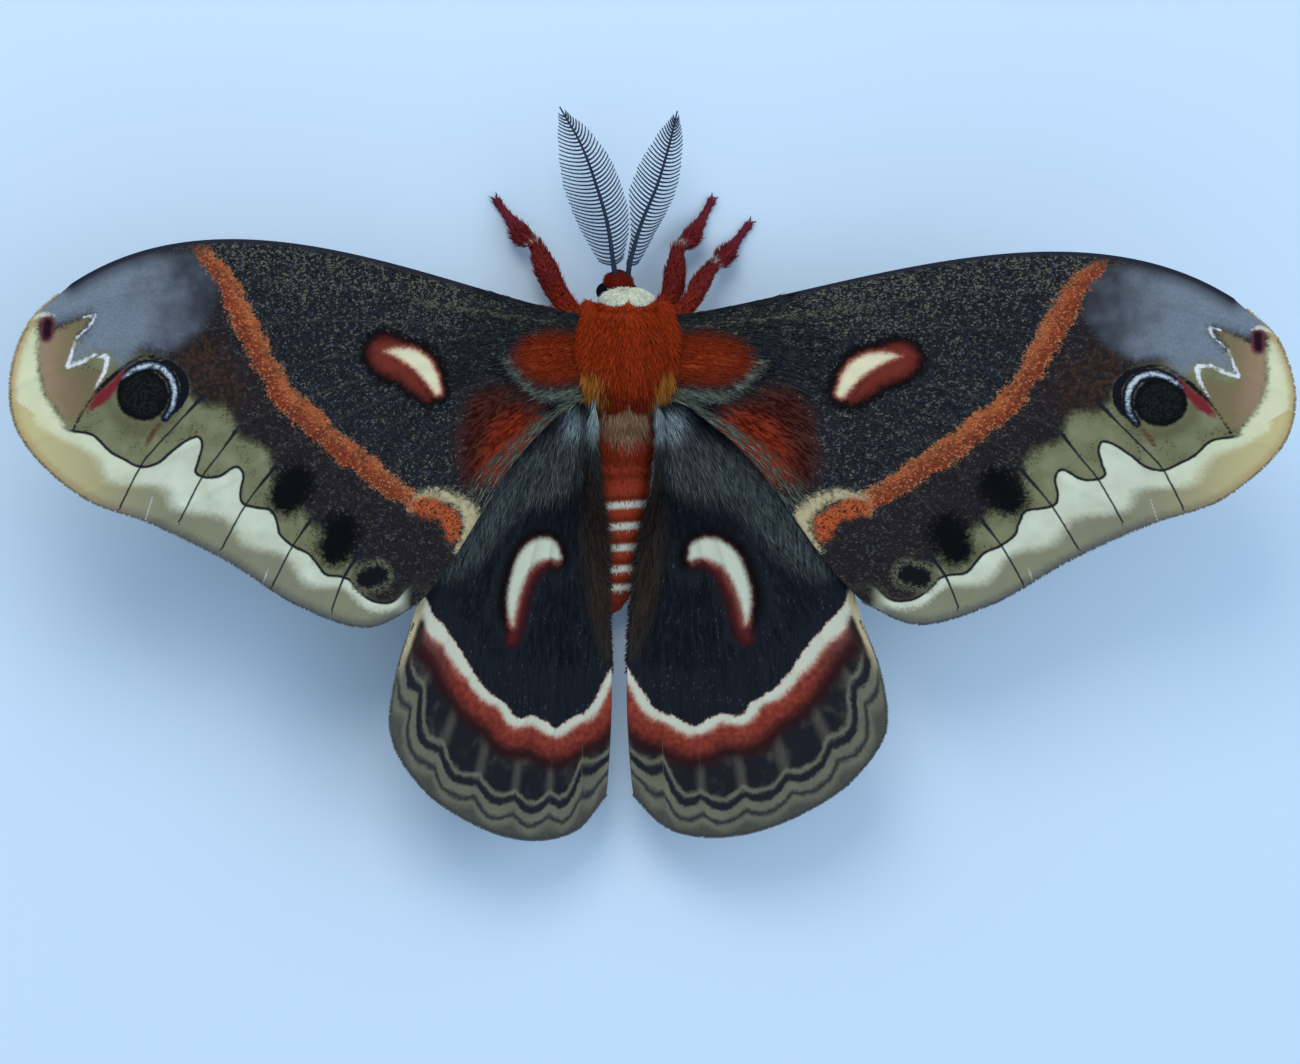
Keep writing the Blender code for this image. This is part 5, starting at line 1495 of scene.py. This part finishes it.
def build_feeler(rng, name, side, spread, droop, meeting, stem, material):
    heap = Heap()
    path = mirrored(stem, side)
    t = np.linspace(0.0, 1.0, 70)
    centres = curve(path, t)
    knuckle = 1.0 + 0.12 * np.cos(2.0 * math.pi * RAMI * t)
    radii = (STEM_RADII[0] + (STEM_RADII[1] - STEM_RADII[0]) * t) * knuckle
    start = mirrored(STEM_START, side)
    lead = start + (centres[0] - start) * np.linspace(0.0, 0.9, 6)[:, None]
    radii = np.concatenate([np.full(6, STEM_RADII[0] * 1.15), radii])
    heap.add(*tube(np.concatenate([lead, centres]), radii, 10))
    u = np.linspace(0.0, 1.0, RAMUS_STATIONS)
    for i in range(RAMI):
        place = RAMI_SPAN[0] + (RAMI_SPAN[1] - RAMI_SPAN[0]) * (i + 0.5) / RAMI
        root, before, after = curve(path, np.clip([place, place - 0.02, place + 0.02], 0.0, 1.0))
        ahead = unit(after - before)
        across_stem = unit(np.cross(ahead, UP))
        for outward, reaches in ((1, OUTER_REACH), (-1, INNER_REACH)):
            reach = np.interp(place, np.linspace(0.0, 1.0, len(reaches)), reaches) * rng.uniform(0.97, 1.02)
            away = across_stem * (side * outward)
            lean = BRANCH_LEAN + TIP_LEAN * smooth_step(place, 0.6, 1.0)
            tip = root + away * (spread * reach) + ahead * (lean * reach)
            if outward < 0 and side * (tip[0] - meeting * side) < 0.0:
                reach *= max((root[0] - meeting * side) / (root[0] - tip[0]), SHORTEST_BRANCH)
            centre = (root + away * (spread * reach * u)[:, None] + ahead * (lean * reach * u * u)[:, None]
                      - UP * (droop * reach * u * u)[:, None])
            heap.add(*tube(centre, RAMUS_RADIUS * (1.0 - 0.55 * u), 6))
            add_hairs(heap, rng, centre, u, ahead)
    made = make_mesh(name + "_feather", np.concatenate(heap.points), heap.faces, material)
    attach(made, "root")
    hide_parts(name)


def build_eyes():
    p = Paint("eye_gloss", 0.16, 0.0)
    p.colour = (14, 17, 26)
    facets = p.cells(0.09, 0.09, 0.09)[3]
    material = p.finish(facets, 0.12, 0.01)
    for name, side in (("eye_left", -1.0), ("eye_right", 1.0)):
        centre = HEAD_CENTRE + mirrored(EYE_OFFSET + EYE_SINK, side)
        points, faces = ball(centre, np.full(3, EYE_RADIUS), 48, 32)
        eye = make_mesh(name + "_ball", points, faces, material)
        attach(eye, "root")
        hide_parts(name)


def build_claws(material):
    heap = Heap()
    for _, side, stations in LEGS:
        tip = mirrored(stations[-1][:3], side)
        before = mirrored(stations[-2][:3], side)
        ahead = unit((tip - before) * np.array([1.0, 1.0, 0.0]))
        beside = np.array([ahead[1], -ahead[0], 0.0])
        for way in (-1.0, 1.0):
            u = np.linspace(0.0, 1.0, 8)[:, None]
            claw = (tip + ahead * (0.2 + CLAW_LENGTH * 0.8 * u)
                    + beside * way * (0.16 + 0.45 * np.sqrt(u) * CLAW_LENGTH)
                    + UP * (0.12 + 0.25 * np.sin(math.pi * u * 0.9) - 0.28 * u ** 2))
            heap.add(*tube(claw, CLAW_RADIUS * (1.0 - 0.85 * u[:, 0]), 7))
    points = np.concatenate(heap.points)
    points[:, 2] = np.maximum(points[:, 2], 0.0)
    claws = make_mesh("claws", points, heap.faces, material)
    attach(claws, "root")


horn = Paint("horn", 0.45, 0.0)
horn.colour = (42, 51, 68)
horn_material = horn.finish(horn.noise(0.1), 0.1, 0.01)
for name, side, spread, droop, meeting, stem in FEELERS:
    build_feeler(rng, name, side, spread, droop, meeting, stem, horn_material)
build_eyes()
build_claws(horn_material)


# Floor, light and camera

def plain_material(name, colour, roughness):
    made = bpy.data.materials.new(name)
    made.use_nodes = True
    shader = made.node_tree.nodes["Principled BSDF"]
    shader.inputs["Base Color"].default_value = colour
    shader.inputs["Roughness"].default_value = roughness
    return made


FLOOR_HALF = 1500.0
WORLD_COLOUR = (0.56, 0.68, 0.8, 1.0)
WORLD_STRENGTH = 1.06
# Name, place, size, watts and colour; each light looks at the middle of the moth
LIGHTS = [
    ("key", (-170.0, 300.0, 430.0), 240.0, 1.2, (1.0, 0.93, 0.82)),
    ("fill", (300.0, 60.0, 380.0), 300.0, 0.33, (0.9, 0.95, 1.0)),
]


def build_floor():
    corners = FLOOR_HALF * np.array([(-1.0, -1.0, 0.0), (1.0, -1.0, 0.0), (1.0, 1.0, 0.0), (-1.0, 1.0, 0.0)])
    paper = plain_material("floor", linear(196, 218, 240), 0.9)
    floor = make_mesh("floor", corners, np.array([(0, 1, 2, 3)]), paper)


def build_light(name, place, size, watts, colour):
    data = bpy.data.lights.new(name, "AREA")
    data.size = size * MM
    data.energy = watts
    data.color = colour
    lamp = bpy.data.objects.new(name, data)
    lamp.location = (np.array(place) + SHIFT) * MM
    lamp.rotation_euler = (-Vector(place)).to_track_quat("-Z", "Y").to_euler()
    bpy.context.scene.collection.objects.link(lamp)


def build_world():
    world = bpy.data.worlds.new("studio")
    world.use_nodes = True
    back = world.node_tree.nodes["Background"]
    back.inputs["Color"].default_value = WORLD_COLOUR
    back.inputs["Strength"].default_value = WORLD_STRENGTH
    bpy.context.scene.world = world


# The photo's view: looking down, leaning to the moth's left of the vertical
CAMERA_LEAN = math.radians(15.43)
CAMERA_DISTANCE = 560.0
CAMERA_TARGET = np.array([3.4, 0.0, 7.0])
VIEW_WIDTH = 140.11            # seen at the target's distance
SENSOR_WIDTH = 36.0


def build_camera():
    data = bpy.data.cameras.new("camera")
    data.sensor_width = SENSOR_WIDTH
    data.lens = SENSOR_WIDTH * CAMERA_DISTANCE / VIEW_WIDTH
    data.clip_start = 0.01
    camera = bpy.data.objects.new("camera", data)
    away = np.array([-math.sin(CAMERA_LEAN), 0.0, math.cos(CAMERA_LEAN)])
    camera.location = (CAMERA_TARGET + CAMERA_DISTANCE * away + SHIFT) * MM
    camera.rotation_euler = (0.0, -CAMERA_LEAN, 0.0)
    bpy.context.scene.collection.objects.link(camera)
    bpy.context.scene.camera = camera


build_floor()
build_world()
for light in LIGHTS:
    build_light(*light)
build_camera()
bpy.context.scene.view_settings.view_transform = "Standard"
